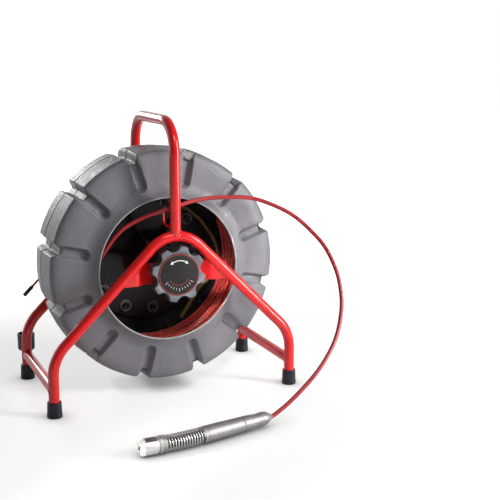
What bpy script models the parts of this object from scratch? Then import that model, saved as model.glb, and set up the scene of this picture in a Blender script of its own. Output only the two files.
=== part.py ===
# Push-cable inspection reel: a bent-tube stand, a ribbed drum on an axle, the cable and its camera head.
import math

import bmesh
import bpy
from mathutils import Matrix, Vector

# Clearances
GAP = 0.0003
FLOOR_GAP = 0.0005

# Stand: two bent tubes, tied by side rails and a carrying handle
TUBE_RADIUS = 0.0127
FRAME_DEPTH = 0.3037
ARCH_BEND = 0.084
KNEE_BEND = 0.100
DIAGONAL_SLOPE = math.radians(45)
RAIL_ABOVE_FOOT = 0.027
LEG_ABOVE_RAIL = 0.0321
HANDLE_CLEARANCE = 0.0664
HANDLE_BEND = 0.076
FOOT_WALL = 0.0035
FOOT_FLARE = 0.0015
FOOT_HEIGHT = 0.037
FOOT_SOLE = 0.010
FOOT_ROUNDING = 0.002

# Hub plates: dished strips between the diagonals of each bent tube
PLATE_HEIGHT = 0.050
PLATE_THICKNESS = 0.004
PLATE_DISH = 0.016
PLATE_DISH_INNER = 0.072
PLATE_DISH_SLOPE = 0.028

# Drum: two ribbed half shells that meet on the mid plane
DRUM_RADIUS = 0.290
DRUM_CLEARANCE = 0.0266
RIM_DRAFT = 0.005
RIM_DEPTH = 0.070
CORNER_RADIAL = 0.014
CORNER_AXIAL = 0.014
FRONT_RISE = 0.023
BACK_RISE = 0.015
LIP_RADIUS = 0.176
LIP_BAND = 0.017
DRUM_WALL = 0.005
NOTCH_COUNT = 12
NOTCH_PHASE = math.radians(17.3)
NOTCH_DEPTH = 0.020
NOTCH_MOUTH = math.radians(3.7)
NOTCH_FLOOR = math.radians(1.8)
NOTCH_LAND = math.radians(10.5)
GROOVE_DEPTH = 0.010
GROOVE_END_SLOPE = 0.010

# Hub, bearings and axle
AXLE_RADIUS = 0.0095
AXLE_RECESS = 0.0015
HUB_WALL = 0.0217
FLANGE_RADIUS = 0.170
FLANGE_THICKNESS = 0.009
FLANGE_FILLET = 0.012
BEARING_HEIGHT = 0.0142
BEARING_WIDTH = 0.012
BEARING_SHOULDER = 0.005
BOLT_COUNT = 12
BOLT_INSET = 0.027
BOLT_PHASE = math.radians(-113)
BOLT_RADIUS = 0.004
BOLT_HEAD_RADIUS = 0.0075
BOLT_HEAD_HEIGHT = 0.008
BOLT_WASHER_RADIUS = 0.014
BOLT_WASHER_THICKNESS = 0.0025
DRAG_WASHER_WIDTH = 0.0282
DRAG_WASHER_THICKNESS = 0.003
SPACER_WALL = 0.0102
SPACER_LENGTH = 0.012
ROTOR_WIDTH = 0.0242
ROTOR_THICKNESS = 0.008
STATOR_WIDTH = 0.0302
NUT_WALL = 0.0045
NUT_THICKNESS = 0.010
GLAND_RADIUS = 0.009
GLAND_LENGTH = 0.022
GLAND_BORE = 0.0035
GLAND_BORE_DEPTH = 0.012

# Lock knob
KNOB_RADIUS = 0.0675
KNOB_THICKNESS = 0.0335
KNOB_CLEARANCE = 0.0082
KNOB_LOBES = 8
KNOB_PHASE = math.radians(10)
SCALLOP_RADIUS = 0.017
SCALLOP_DEPTH = 0.013
INSERT_WALL = 0.0052
KNOB_WASHER_WIDTH = 0.0162
KNOB_WASHER_THICKNESS = 0.002
LABEL_MARGIN = 0.004
LABEL_THICKNESS = 0.0015

# Push cable: wound inside the drum, over a plain core
CABLE_RADIUS = 0.005
TURN_GAP = 0.0005
WINDING_END_ANGLE = math.radians(205)
CORE_DEPTH = 0.0418
CORE_FRONT_CLEARANCE = 0.002
CORE_BACK_CLEARANCE = 0.014
CORE_MARGIN = 0.006
LEAD_RADIUS = 0.0055

# Route of the free cable out of the drum and through the guide, chosen by hand in the stand's own frame
CABLE_ROUTE = [
    (-0.114, -0.056, 0.153), (-0.163, -0.058, 0.202), (-0.185, -0.062, 0.249), (-0.187, -0.070, 0.300),
    (-0.162, -0.088, 0.358), (-0.120, -0.098, 0.415), (-0.074, -0.110, 0.444), (-0.028, -0.123, 0.461),
    (0.021, -0.127, 0.475), (0.080, -0.126, 0.486), (0.147, -0.130, 0.487), (0.207, -0.137, 0.481),
    (0.259, -0.152, 0.462), (0.302, -0.170, 0.437), (0.336, -0.193, 0.403), (0.364, -0.219, 0.363),
    (0.379, -0.251, 0.310), (0.378, -0.278, 0.264), (0.368, -0.301, 0.223), (0.344, -0.327, 0.175),
    (0.313, -0.347, 0.137), (0.271, -0.365, 0.099), (0.225, -0.378, 0.066), (0.185, -0.386, 0.040)]
CABLE_POINTS = 56

# Route of the lead that joins the cable to the hub, chosen by hand: offsets from the hub's axis
LEAD_ROUTE = [
    (0.116, 0.068, 0.112), (0.152, 0.065, 0.077), (0.177, 0.064, 0.040), (0.192, 0.062, 0.005),
    (0.194, 0.060, -0.030), (0.172, 0.059, -0.066), (0.132, 0.057, -0.104), (0.106, 0.054, -0.142),
    (0.082, 0.050, -0.172)]
LEAD_START = (0.096, 0.121)
LEAD_POINTS = 20

# Camera head, lying on the floor: tail at the cable, face at the other end
HEAD_TAIL = (0.1347, -0.3964)
HEAD_HEADING = math.radians(13)
HEAD_BEND = math.radians(10)
HEAD_RADIUS = 0.0186
COLLAR_STEP = 0.0012
SLEEVE_STEP = 0.0002
FERRULE_STEP = 0.0028
FERRULE_NOSE_RADIUS = 0.0085
FERRULE_LENGTH = 0.080
FERRULE_TAPER = 0.017
FERRULE_FLARE = 0.020
SLEEVE_LENGTH = 0.107
SPRING_LENGTH = 0.0875
SPRING_PITCH = 0.0064
SPRING_WIRE = 0.0016
FLEX_RADIUS = 0.009
COLLAR_LENGTH = 0.019
BODY_LENGTH = 0.0315
BEZEL_LENGTH = 0.009
BEZEL_ROUNDING = 0.004
BEZEL_RIM = 0.0045
WINDOW_RADIUS = 0.0062
WINDOW_DEPTH = 0.002

# Small fittings on the stand
HOOP_WIRE = 0.003
HOOP_REACH = 0.060
HOOP_TURN = math.radians(9)
HOOP_RISE = 0.019
HOOP_HEIGHT = 0.0545
HOOP_BEND = 0.014
HOOP_SLEEVE_WALL = 0.0017
HOOP_SLEEVE_DROP = 0.019
HOOP_SLEEVE_OVER = 0.041
HOLSTER_RADIUS = 0.0225
HOLSTER_WALL = 0.0035
HOLSTER_FLOOR = 0.004
HOLSTER_ABOVE_FOOT = 0.029
HOLSTER_HEIGHT = 0.044
HOLSTER_TURN = math.radians(80)
HOLSTER_SEAT = 0.0001
HOOK_WIRE = 0.003
HOOK_OUT = 0.047
HOOK_BACK = 0.038
HOOK_RUN = 0.110
HOOK_BEND = 0.014
HOOK_INSET = 0.1183
HOOK_CAP_WALL = 0.0017
HOOK_CAP_LENGTH = 0.032

# Facets
ROUND_STEPS = 24
CORE_STEPS = 48
SMALL_STEPS = 16
BOLT_STEPS = 8
BEND_STEPS = 6
WIRE_BEND_STEPS = 5
SMOOTH_STEPS = 20
LOOP_POINTS = 24
CURL_POINTS = 9
FLEX_POINTS = 9
SCALLOP_STEPS = 6
LOBE_STEPS = 5
NUT_SIDES = 6
TUBE_SIDES = 4
WIRE_SIDES = 2
WOUND_SIDES = 1
NOTCH_COLUMNS = 6
SHARP_ANGLE = math.radians(35)

# Heights and places on the stand that follow from the sizes above
HUB_Z = DRUM_RADIUS + DRUM_CLEARANCE
TUBE_Y = FRAME_DEPTH / 2
ARCH_APEX_Z = HUB_Z + KNOB_RADIUS + KNOB_CLEARANCE + TUBE_RADIUS
ARCH_CORNER_Z = ARCH_APEX_Z + ARCH_BEND * (1 / math.cos(DIAGONAL_SLOPE) - 1)
RAIL_Z = FOOT_HEIGHT + RAIL_ABOVE_FOOT
KNEE_Z = RAIL_Z + LEG_ABOVE_RAIL + KNEE_BEND * math.tan(math.pi / 4 - DIAGONAL_SLOPE / 2)
LEG_X = (ARCH_CORNER_Z - KNEE_Z) / math.tan(DIAGONAL_SLOPE)
HANDLE_TOP_Z = HUB_Z + DRUM_RADIUS + HANDLE_CLEARANCE
FOOT_SOCKET = TUBE_RADIUS + GAP
FOOT_TOP_RADIUS = FOOT_SOCKET + FOOT_WALL
FOOT_RADIUS = FOOT_TOP_RADIUS + FOOT_FLARE
PLATE_DISH_OUTER = PLATE_DISH_INNER + PLATE_DISH_SLOPE
PLATE_HUB_Y = TUBE_Y - PLATE_DISH
PLATE_OUTER_Y = PLATE_HUB_Y + PLATE_THICKNESS / 2
PLATE_INNER_Y = PLATE_HUB_Y - PLATE_THICKNESS / 2
HOOP_BOTTOM_Z = ARCH_APEX_Z + HOOP_RISE
HOOP_TOP_Z = HOOP_BOTTOM_Z + HOOP_HEIGHT
HOOP_SLEEVE_RADIUS = HOOP_WIRE + GAP + HOOP_SLEEVE_WALL
HOLSTER_BOTTOM_Z = FOOT_HEIGHT + HOLSTER_ABOVE_FOOT
HOLSTER_REACH = TUBE_RADIUS + HOLSTER_SEAT + HOLSTER_RADIUS
HOLSTER_X = -LEG_X + HOLSTER_REACH * math.cos(HOLSTER_TURN)
HOLSTER_Y = TUBE_Y + HOLSTER_REACH * math.sin(HOLSTER_TURN)
HOOK_FOOT_X = LEG_X - HOOK_INSET
HOOK_CAP_BORE = HOOK_WIRE + GAP
HOOK_CAP_RADIUS = HOOK_CAP_BORE + HOOK_CAP_WALL

# Sizes along and round the axle that follow from those above
SHAFT_BORE = AXLE_RADIUS + GAP
FACE_Y = RIM_DEPTH + CORNER_AXIAL
BACK_Y = FACE_Y + BACK_RISE
GROOVE_END_RADIUS = LIP_RADIUS + LIP_BAND
FLANGE_BACK_Y = BACK_Y - DRUM_WALL - GAP
FLANGE_FRONT_Y = FLANGE_BACK_Y - FLANGE_THICKNESS
BOLT_CIRCLE = FLANGE_RADIUS - BOLT_INSET
BEARING_RADIUS = SHAFT_BORE + BEARING_HEIGHT
BEARING_SEAT = BEARING_RADIUS + GAP
HUB_RADIUS = BEARING_SEAT + HUB_WALL
HUB_CORE_RADIUS = BEARING_RADIUS - BEARING_SHOULDER
SPACER_BACK_Y = SPACER_LENGTH - PLATE_INNER_Y + GAP
DRAG_FRONT_Y = SPACER_BACK_Y + GAP
DRAG_BACK_Y = DRAG_FRONT_Y + DRAG_WASHER_THICKNESS
HUB_FRONT_Y = DRAG_BACK_Y + GAP
ROTOR_FRONT_Y = BACK_Y + GAP
ROTOR_BACK_Y = ROTOR_FRONT_Y + ROTOR_THICKNESS
STATOR_RADIUS = SHAFT_BORE + STATOR_WIDTH
NUT_RADIUS = (SHAFT_BORE + NUT_WALL) / math.cos(math.pi / NUT_SIDES)
INSERT_RADIUS = SHAFT_BORE + INSERT_WALL
KNOB_BACK_Y = -(PLATE_OUTER_Y + KNOB_WASHER_THICKNESS + 2 * GAP)
KNOB_FRONT_Y = KNOB_BACK_Y - KNOB_THICKNESS
LABEL_RADIUS = KNOB_RADIUS - SCALLOP_DEPTH - LABEL_MARGIN
LABEL_FRONT_Y = KNOB_FRONT_Y - GAP - LABEL_THICKNESS

# Sizes of the winding and the camera head that follow from those above
CORE_OUTER = DRUM_RADIUS - RIM_DRAFT - NOTCH_DEPTH - DRUM_WALL - 2 * GAP
CORE_INNER = CORE_OUTER - CORE_DEPTH
CORE_FRONT_Y = CORE_FRONT_CLEARANCE - RIM_DEPTH
CORE_BACK_Y = RIM_DEPTH - CORE_BACK_CLEARANCE
WINDING_RADIUS = CORE_INNER - CABLE_RADIUS - 2 * GAP
WINDING_WIDTH = CORE_BACK_Y - CORE_FRONT_Y - 2 * CORE_MARGIN
WINDING_LOOPS = math.floor(2 * WINDING_WIDTH / (2 * CABLE_RADIUS + TURN_GAP)) / 2
COLLAR_RADIUS = HEAD_RADIUS + COLLAR_STEP
SLEEVE_RADIUS = HEAD_RADIUS + SLEEVE_STEP
FERRULE_RADIUS = SLEEVE_RADIUS - FERRULE_STEP
LIGHT_RING_RADIUS = HEAD_RADIUS - BEZEL_RIM
HEAD_Z = COLLAR_RADIUS + FLOOR_GAP

# The object's origin is under the middle of its box, cable and camera head left out
BOX_CENTRE_Y = (HOLSTER_Y + HOLSTER_RADIUS + LABEL_FRONT_Y) / 2

# Colours
RED_PAINT = ("red_paint", (0.62, 0.012, 0.014), 0.25, 0.0)
GREY_SHELL = ("grey_shell", (0.2, 0.198, 0.205), 0.6, 0.0)
BLACK_PLASTIC = ("black_plastic", (0.012, 0.012, 0.014), 0.5, 0.0)
BLACK_RUBBER = ("black_rubber", (0.012, 0.013, 0.02), 0.7, 0.0)
KNOB_GREY = ("knob_grey", (0.16, 0.19, 0.23), 0.45, 0.0)
LABEL_BLACK = ("label_black", (0.02, 0.02, 0.02), 0.4, 0.0)
CABLE_RED = ("cable_red", (0.45, 0.05, 0.045), 0.45, 0.0)
LEAD_OLIVE = ("lead_olive", (0.16, 0.11, 0.03), 0.5, 0.0)
BLACK_STEEL = ("black_steel", (0.03, 0.03, 0.032), 0.35, 1.0)
STEEL = ("steel", (0.6, 0.6, 0.6), 0.25, 1.0)
BRASS = ("brass", (0.6, 0.42, 0.15), 0.3, 1.0)
WHITE_PLASTIC = ("white_plastic", (0.8, 0.8, 0.78), 0.4, 0.0)
LENS_GLASS = ("lens_glass", (0.02, 0.02, 0.03), 0.05, 0.0)

# Turns a lathe's own axis to run from the front of the reel to its back
ALONG_Y = Matrix.Rotation(-math.pi / 2, 4, "X")


def clear_scene():
    for obj in list(bpy.data.objects):
        bpy.data.objects.remove(obj, do_unlink=True)


def new_collection(name):
    found = bpy.data.collections.new(name)
    bpy.context.scene.collection.children.link(found)
    return found


def material(spec):
    name, colour, roughness, metallic = spec
    found = bpy.data.materials.get(name)
    if found:
        return found
    made = bpy.data.materials.new(name)
    made.use_nodes = True
    shader = made.node_tree.nodes["Principled BSDF"]
    shader.inputs["Base Color"].default_value = (*colour, 1.0)
    shader.inputs["Roughness"].default_value = roughness
    shader.inputs["Metallic"].default_value = metallic
    return made


def pivot(name, place, parent=None):
    empty = bpy.data.objects.new(name, None)
    empty.location = place
    empty.parent = parent
    PARTS.objects.link(empty)
    return empty


def finish_part(obj, spec, parent, place=None):
    obj.data.materials.append(material(spec))
    obj.parent = parent
    if place is not None:
        obj.matrix_local = place
    PARTS.objects.link(obj)
    return obj


def make_cutter(obj, parent, place=None):
    obj.parent = parent
    if place is not None:
        obj.matrix_local = place
    obj.hide_render = True
    obj.display_type = "WIRE"
    CUTTERS.objects.link(obj)
    return obj


def cut(obj, *cutters):
    for cutter in cutters:
        modifier = obj.modifiers.new("cut", "BOOLEAN")
        modifier.operation = "DIFFERENCE"
        modifier.object = cutter
    return obj


def evaluated_mesh(obj, name):
    bpy.context.view_layer.update()
    depsgraph = bpy.context.evaluated_depsgraph_get()
    mesh = bpy.data.meshes.new_from_object(obj.evaluated_get(depsgraph))
    mesh.name = name
    body = bmesh.new()
    body.from_mesh(mesh)
    bmesh.ops.remove_doubles(body, verts=body.verts, dist=1e-6)
    body.to_mesh(mesh)
    body.free()
    return mesh


# A curve made into a mesh that a Boolean can take
def as_mesh(curve_object):
    bpy.context.scene.collection.objects.link(curve_object)
    name = curve_object.name
    mesh = evaluated_mesh(curve_object, name)
    curve_object.name = name + "_curve"
    solid = bpy.data.objects.new(name, mesh)
    solid.matrix_world = curve_object.matrix_world
    bpy.data.objects.remove(curve_object, do_unlink=True)
    return solid


# A turned solid: profile points are (radius, height), down the outer side and back up inside
def lathe(name, profile, steps, closed=False):
    mesh = bpy.data.meshes.new(name)
    points = [(radius, 0.0, height) for radius, height in profile]
    edges = [(i, i + 1) for i in range(len(points) - 1)]
    if closed:
        edges.append((len(points) - 1, 0))
    mesh.from_pydata(points, edges, [])
    obj = bpy.data.objects.new(name, mesh)
    turn = obj.modifiers.new("turn", "SCREW")
    turn.steps = steps
    turn.render_steps = steps
    turn.use_merge_vertices = True
    turn.merge_threshold = 0.00001
    return obj


def ring(name, inner, outer, low, high, steps):
    return lathe(name, [(outer, high), (outer, low), (inner, low), (inner, high)], steps, closed=True)


def disc(name, radius, low, high, steps):
    return lathe(name, [(0.0, high), (radius, high), (radius, low), (0.0, low)], steps)


def tube(name, points, radius, sides):
    curve = bpy.data.curves.new(name, "CURVE")
    curve.dimensions = "3D"
    curve.bevel_depth = radius
    curve.bevel_resolution = sides
    curve.use_fill_caps = True
    spline = curve.splines.new("POLY")
    spline.points.add(len(points) - 1)
    for target, point in zip(spline.points, points):
        target.co = (*point, 1.0)
    return bpy.data.objects.new(name, curve)


def flat(name, outlines, thickness):
    curve = bpy.data.curves.new(name, "CURVE")
    curve.dimensions = "2D"
    curve.fill_mode = "BOTH"
    curve.extrude = thickness / 2
    for outline in outlines:
        spline = curve.splines.new("POLY")
        spline.points.add(len(outline) - 1)
        for target, point in zip(spline.points, outline):
            target.co = (point[0], point[1], 0.0, 1.0)
        spline.use_cyclic_u = True
    return bpy.data.objects.new(name, curve)


def circle(radius, steps, centre=(0.0, 0.0)):
    turns = [2 * math.pi * i / steps for i in range(steps)]
    return [(centre[0] + radius * math.cos(a), centre[1] + radius * math.sin(a)) for a in turns]


# Straight runs between corners, with a round bend of its own radius at each inner corner
def bent_path(corners, bends, steps):
    corners = [Vector(corner) for corner in corners]
    points = [corners[0]]
    for before, corner, after, bend in zip(corners, corners[1:], corners[2:], bends):
        back = (before - corner).normalized()
        ahead = (after - corner).normalized()
        half = back.angle(ahead) / 2
        centre = corner + (back + ahead).normalized() * bend / math.sin(half)
        start = corner + back * bend / math.tan(half) - centre
        sweep = math.pi - 2 * half
        normal = back.cross(ahead)
        for i in range(steps + 1):
            points.append(centre + Matrix.Rotation(-sweep * i / steps, 3, normal) @ start)
    points.append(corners[-1])
    return points


# Evenly spaced points on a smooth curve through the given ones
def smooth_path(route, count):
    route = [Vector(point) for point in route]
    padded = [2 * route[0] - route[1], *route, 2 * route[-1] - route[-2]]
    fine = []
    for p0, p1, p2, p3 in zip(padded, padded[1:], padded[2:], padded[3:]):
        for i in range(SMOOTH_STEPS):
            t = i / SMOOTH_STEPS
            fine.append(0.5 * (2 * p1 + (p2 - p0) * t + (2 * p0 - 5 * p1 + 4 * p2 - p3) * t ** 2
                               + (3 * p1 - p0 - 3 * p2 + p3) * t ** 3))
    fine.append(route[-1])
    lengths = [0.0]
    for a, b in zip(fine, fine[1:]):
        lengths.append(lengths[-1] + (b - a).length)
    points = []
    place = 0
    for i in range(count):
        want = lengths[-1] * i / (count - 1)
        while place < len(fine) - 2 and lengths[place + 1] < want:
            place += 1
        share = (want - lengths[place]) / (lengths[place + 1] - lengths[place])
        points.append(fine[place].lerp(fine[place + 1], share))
    return points


# Least gap between the turns of a wound tube, from its centre line's points
def report_gap(name, points, radius, turn_points):
    apart = turn_points // 2
    least = min((a - b).length for i, a in enumerate(points) for b in points[i + apart:])
    print(f"{name}: least gap between its turns {1000 * (least - 2 * radius):.2f} mm")


def frame_corners(y):
    low = FOOT_SOLE + GAP
    return [(-LEG_X, y, low), (-LEG_X, y, KNEE_Z), (0.0, y, ARCH_CORNER_Z), (LEG_X, y, KNEE_Z), (LEG_X, y, low)]


def frame_path(y):
    return bent_path(frame_corners(y), [KNEE_BEND, ARCH_BEND, KNEE_BEND], BEND_STEPS)


def build_stand(origin):
    cutters = []
    for side, y in (("front", -TUBE_Y), ("rear", TUBE_Y)):
        path = frame_path(y)
        finish_part(tube(f"{side}_frame_tube", path, TUBE_RADIUS, TUBE_SIDES), RED_PAINT, origin)
        cutter = as_mesh(tube(f"{side}_frame_cutter", path, TUBE_RADIUS + GAP, TUBE_SIDES))
        cutters.append(make_cutter(cutter, origin))
    build_handle(origin, cutters)
    build_rails(origin, cutters)
    build_feet(origin)
    for side, facing in (("front", -1), ("rear", 1)):
        build_hub_plate(origin, side, facing)


def build_handle(origin, cutters):
    low = ARCH_APEX_Z + TUBE_RADIUS / 2
    high = HANDLE_TOP_Z
    corners = [(0.0, -TUBE_Y, low), (0.0, -TUBE_Y, high), (0.0, TUBE_Y, high), (0.0, TUBE_Y, low)]
    path = bent_path(corners, [HANDLE_BEND] * 2, BEND_STEPS)
    handle = as_mesh(tube("handle_tube", path, TUBE_RADIUS, TUBE_SIDES))
    cut(finish_part(handle, RED_PAINT, origin), *cutters)


def build_rails(origin, cutters):
    reach = TUBE_Y - TUBE_RADIUS / 2
    for side, x in (("left", -LEG_X), ("right", LEG_X)):
        ends = [(x, -reach, RAIL_Z), (x, reach, RAIL_Z)]
        rail = as_mesh(tube(f"{side}_side_rail", ends, TUBE_RADIUS, TUBE_SIDES))
        cut(finish_part(rail, RED_PAINT, origin), *cutters)


def build_feet(origin):
    profile = [(0.0, FOOT_SOLE), (FOOT_SOCKET, FOOT_SOLE), (FOOT_SOCKET, FOOT_HEIGHT),
               (FOOT_TOP_RADIUS, FOOT_HEIGHT), (FOOT_RADIUS, FOOT_ROUNDING), (FOOT_RADIUS - FOOT_ROUNDING, 0.0),
               (0.0, 0.0)]
    for depth, y in (("front", -TUBE_Y), ("rear", TUBE_Y)):
        for side, x in (("left", -LEG_X), ("right", LEG_X)):
            foot = lathe(f"{depth}_{side}_foot", profile, SMALL_STEPS)
            finish_part(foot, BLACK_RUBBER, origin, Matrix.Translation((x, y, 0.0)))


# How far a hub plate is set in towards the drum, at a distance from the middle
def plate_dish(x):
    share = (PLATE_DISH_OUTER - abs(x)) / PLATE_DISH_SLOPE
    return PLATE_DISH * min(max(share, 0.0), 1.0)


def build_hub_plate(origin, side, facing):
    clear = (TUBE_RADIUS + GAP) / math.sin(DIAGONAL_SLOPE)
    half = PLATE_HEIGHT / 2
    slope = math.tan(DIAGONAL_SLOPE)
    wide = [(ARCH_CORNER_Z - HUB_Z - z) / slope - clear for z in (-half, half)]
    outline = [(-wide[0], -half), (wide[0], -half), (wide[1], half), (-wide[1], half)]
    plate = as_mesh(flat(f"{side}_hub_plate", [outline, circle(SHAFT_BORE, SMALL_STEPS)], PLATE_THICKNESS))
    body = bmesh.new()
    body.from_mesh(plate.data)
    for x in (-PLATE_DISH_OUTER, -PLATE_DISH_INNER, PLATE_DISH_INNER, PLATE_DISH_OUTER):
        everything = body.verts[:] + body.edges[:] + body.faces[:]
        bmesh.ops.bisect_plane(body, geom=everything, plane_co=(x, 0, 0), plane_no=(1, 0, 0), dist=1e-7)
    for vertex in body.verts:
        vertex.co.z += facing * plate_dish(vertex.co.x)
    body.to_mesh(plate.data)
    body.free()
    upright = Matrix.Rotation(math.pi / 2, 4, "X")
    finish_part(plate, RED_PAINT, origin, Matrix.Translation((0.0, facing * TUBE_Y, HUB_Z)) @ upright)


# Cable guide: a wire hoop behind the front upright, sleeved where the cable rubs
def build_guide(origin):
    away = Vector((-math.sin(HOOP_TURN), math.cos(HOOP_TURN), 0.0))
    upright = Vector((0.0, -TUBE_Y, 0.0))
    near = upright + away * (TUBE_RADIUS + GAP)
    far = upright + away * HOOP_REACH
    low = Vector((0.0, 0.0, HOOP_BOTTOM_Z))
    high = Vector((0.0, 0.0, HOOP_TOP_Z))
    path = bent_path([near + low, far + low, far + high, near + high], [HOOP_BEND] * 2, WIRE_BEND_STEPS)
    finish_part(tube("cable_guide_hoop", path, HOOP_WIRE, WIRE_SIDES), RED_PAINT, origin)
    cutter = make_cutter(as_mesh(tube("hoop_cutter", path, HOOP_WIRE + GAP, WIRE_SIDES)), origin)
    start = far + high - Vector((0.0, 0.0, HOOP_SLEEVE_DROP))
    over = far + high - away * HOOP_SLEEVE_OVER
    sleeve_path = bent_path([start, far + high, over], [HOOP_BEND], WIRE_BEND_STEPS)
    sleeve = as_mesh(tube("guide_sleeve", sleeve_path, HOOP_SLEEVE_RADIUS, WIRE_SIDES))
    cut(finish_part(sleeve, BLACK_PLASTIC, origin), cutter)


def build_holster(origin):
    top = HOLSTER_BOTTOM_Z + HOLSTER_HEIGHT
    floor = HOLSTER_BOTTOM_Z + HOLSTER_FLOOR
    inside = HOLSTER_RADIUS - HOLSTER_WALL
    profile = [(0.0, floor), (inside, floor), (inside, top), (HOLSTER_RADIUS, top),
               (HOLSTER_RADIUS, HOLSTER_BOTTOM_Z), (0.0, HOLSTER_BOTTOM_Z)]
    holster = lathe("plug_holster", profile, SMALL_STEPS)
    finish_part(holster, BLACK_PLASTIC, origin, Matrix.Translation((HOLSTER_X, HOLSTER_Y, 0.0)))


# Cord hooks: wires that stand off the rear diagonals and run down beside them, with soft end caps
def build_cord_hooks(origin):
    foot_z = ARCH_CORNER_Z - HOOK_FOOT_X * math.tan(DIAGONAL_SLOPE)
    for side, sign in (("left", -1), ("right", 1)):
        foot = Vector((sign * HOOK_FOOT_X, TUBE_Y, foot_z))
        out = Vector((sign * math.sin(DIAGONAL_SLOPE), 0.0, math.cos(DIAGONAL_SLOPE)))
        down = Vector((sign * math.cos(DIAGONAL_SLOPE), 0.0, -math.sin(DIAGONAL_SLOPE)))
        stand_off = out * HOOK_OUT + Vector((0.0, HOOK_BACK, 0.0))
        start = foot + stand_off.normalized() * (TUBE_RADIUS + GAP)
        corner = foot + stand_off
        path = bent_path([start, corner, corner + down * HOOK_RUN], [HOOK_BEND], WIRE_BEND_STEPS)
        finish_part(tube(f"{side}_cord_hook", path, HOOK_WIRE, WIRE_SIDES), RED_PAINT, origin)
        build_hook_cap(origin, side, path[-1], down)


def build_hook_cap(origin, side, tip, down):
    end = HOOK_CAP_WALL + GAP
    back = end - HOOK_CAP_LENGTH
    profile = [(0.0, end), (HOOK_CAP_RADIUS - HOOK_CAP_WALL, end), (HOOK_CAP_RADIUS, 0.0),
               (HOOK_CAP_RADIUS, back), (HOOK_CAP_BORE, back), (HOOK_CAP_BORE, GAP), (0.0, GAP)]
    cap = lathe(f"{side}_hook_cap", profile, BOLT_STEPS)
    turn = down.to_track_quat("Z", "Y").to_matrix().to_4x4()
    finish_part(cap, BLACK_RUBBER, origin, Matrix.Translation(tip) @ turn)


# One half shell's outer side, from the mid plane in to the given inner radius: (land, groove) pairs
def shell_rows(inner_radius, rise, flat_from):
    rim = DRUM_RADIUS - RIM_DRAFT
    outer = rim - CORNER_RADIAL
    bend = math.sin(math.pi / 4)
    groove_end = GROOVE_END_RADIUS + GROOVE_END_SLOPE
    middle = (outer + groove_end) / 2

    # The face leans out from its corner, up to the radius where it turns flat
    def face(radius):
        return radius, FACE_Y + rise * min(1.0, (outer - radius) / (outer - flat_from))

    lands = [(DRUM_RADIUS, GAP / 2), (rim, RIM_DEPTH),
             (rim - CORNER_RADIAL * (1 - bend), RIM_DEPTH + CORNER_AXIAL * bend), (outer, FACE_Y),
             face(middle), face(groove_end), face(GROOVE_END_RADIUS), face(inner_radius)]
    drops = [(NOTCH_DEPTH, 0.0), (NOTCH_DEPTH, 0.0), (NOTCH_DEPTH, GROOVE_DEPTH * bend),
             (NOTCH_DEPTH * bend, GROOVE_DEPTH), (0.0, GROOVE_DEPTH), (0.0, GROOVE_DEPTH), (0.0, 0.0),
             (0.0, 0.0)]
    return [(land, (land[0] - drop[0], land[1] - drop[1])) for land, drop in zip(lands, drops)]


# The shell's inside, one wall below an outer line of (radius, height) points, with fewer points
def inside_line(line):
    inside = [(line[0][0] - DRUM_WALL, line[0][1])]
    corners = list(zip(line, line[1:], line[2:]))
    for before, here, after in corners[:4:2] + corners[4:]:
        along = Vector(after) - Vector(before)
        normal = Vector((-along.y, along.x)).normalized()
        inside.append(tuple(Vector(here) + normal * DRUM_WALL))
    inside.append((line[-1][0], line[-1][1] - DRUM_WALL))
    return inside


# A half shell: turned as plain lands, then its notch columns are drawn in to the groove line
def build_drum_half(name, rows, facing, parent):
    lands = [land for land, groove in rows]
    grooves = [groove for land, groove in rows]
    land_loop = lands + inside_line(lands)[::-1]
    groove_loop = grooves + inside_line(grooves)[::-1]
    land_loop = [(r, facing * y) for r, y in land_loop]
    groove_loop = [(r, facing * y) for r, y in groove_loop]
    if facing > 0:
        land_loop.reverse()
        groove_loop.reverse()
    steps = NOTCH_COUNT * NOTCH_COLUMNS
    plain = lathe(name + "_turned", land_loop, steps, closed=True)
    bpy.context.scene.collection.objects.link(plain)
    shell = bpy.data.objects.new(name, evaluated_mesh(plain, name))
    bpy.data.objects.remove(plain, do_unlink=True)
    offsets = [-NOTCH_LAND, -NOTCH_MOUTH, -NOTCH_FLOOR, NOTCH_FLOOR, NOTCH_MOUTH, NOTCH_LAND]
    sector = 2 * math.pi / NOTCH_COUNT
    for vertex in shell.data.vertices:
        radius = math.hypot(vertex.co.x, vertex.co.y)
        nearest = min(range(len(land_loop)),
                      key=lambda i: math.hypot(land_loop[i][0] - radius, land_loop[i][1] - vertex.co.z))
        column = round(math.atan2(vertex.co.y, vertex.co.x) / (2 * math.pi / steps)) % steps
        offset = offsets[column % NOTCH_COLUMNS]
        radius, height = land_loop[nearest]
        if abs(offset) == NOTCH_FLOOR:
            radius, height = groove_loop[nearest]
        angle = (column // NOTCH_COLUMNS) * sector - NOTCH_PHASE + offset
        vertex.co = (radius * math.cos(angle), radius * math.sin(angle), height)
    return finish_part(shell, GREY_SHELL, parent, ALONG_Y)


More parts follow.
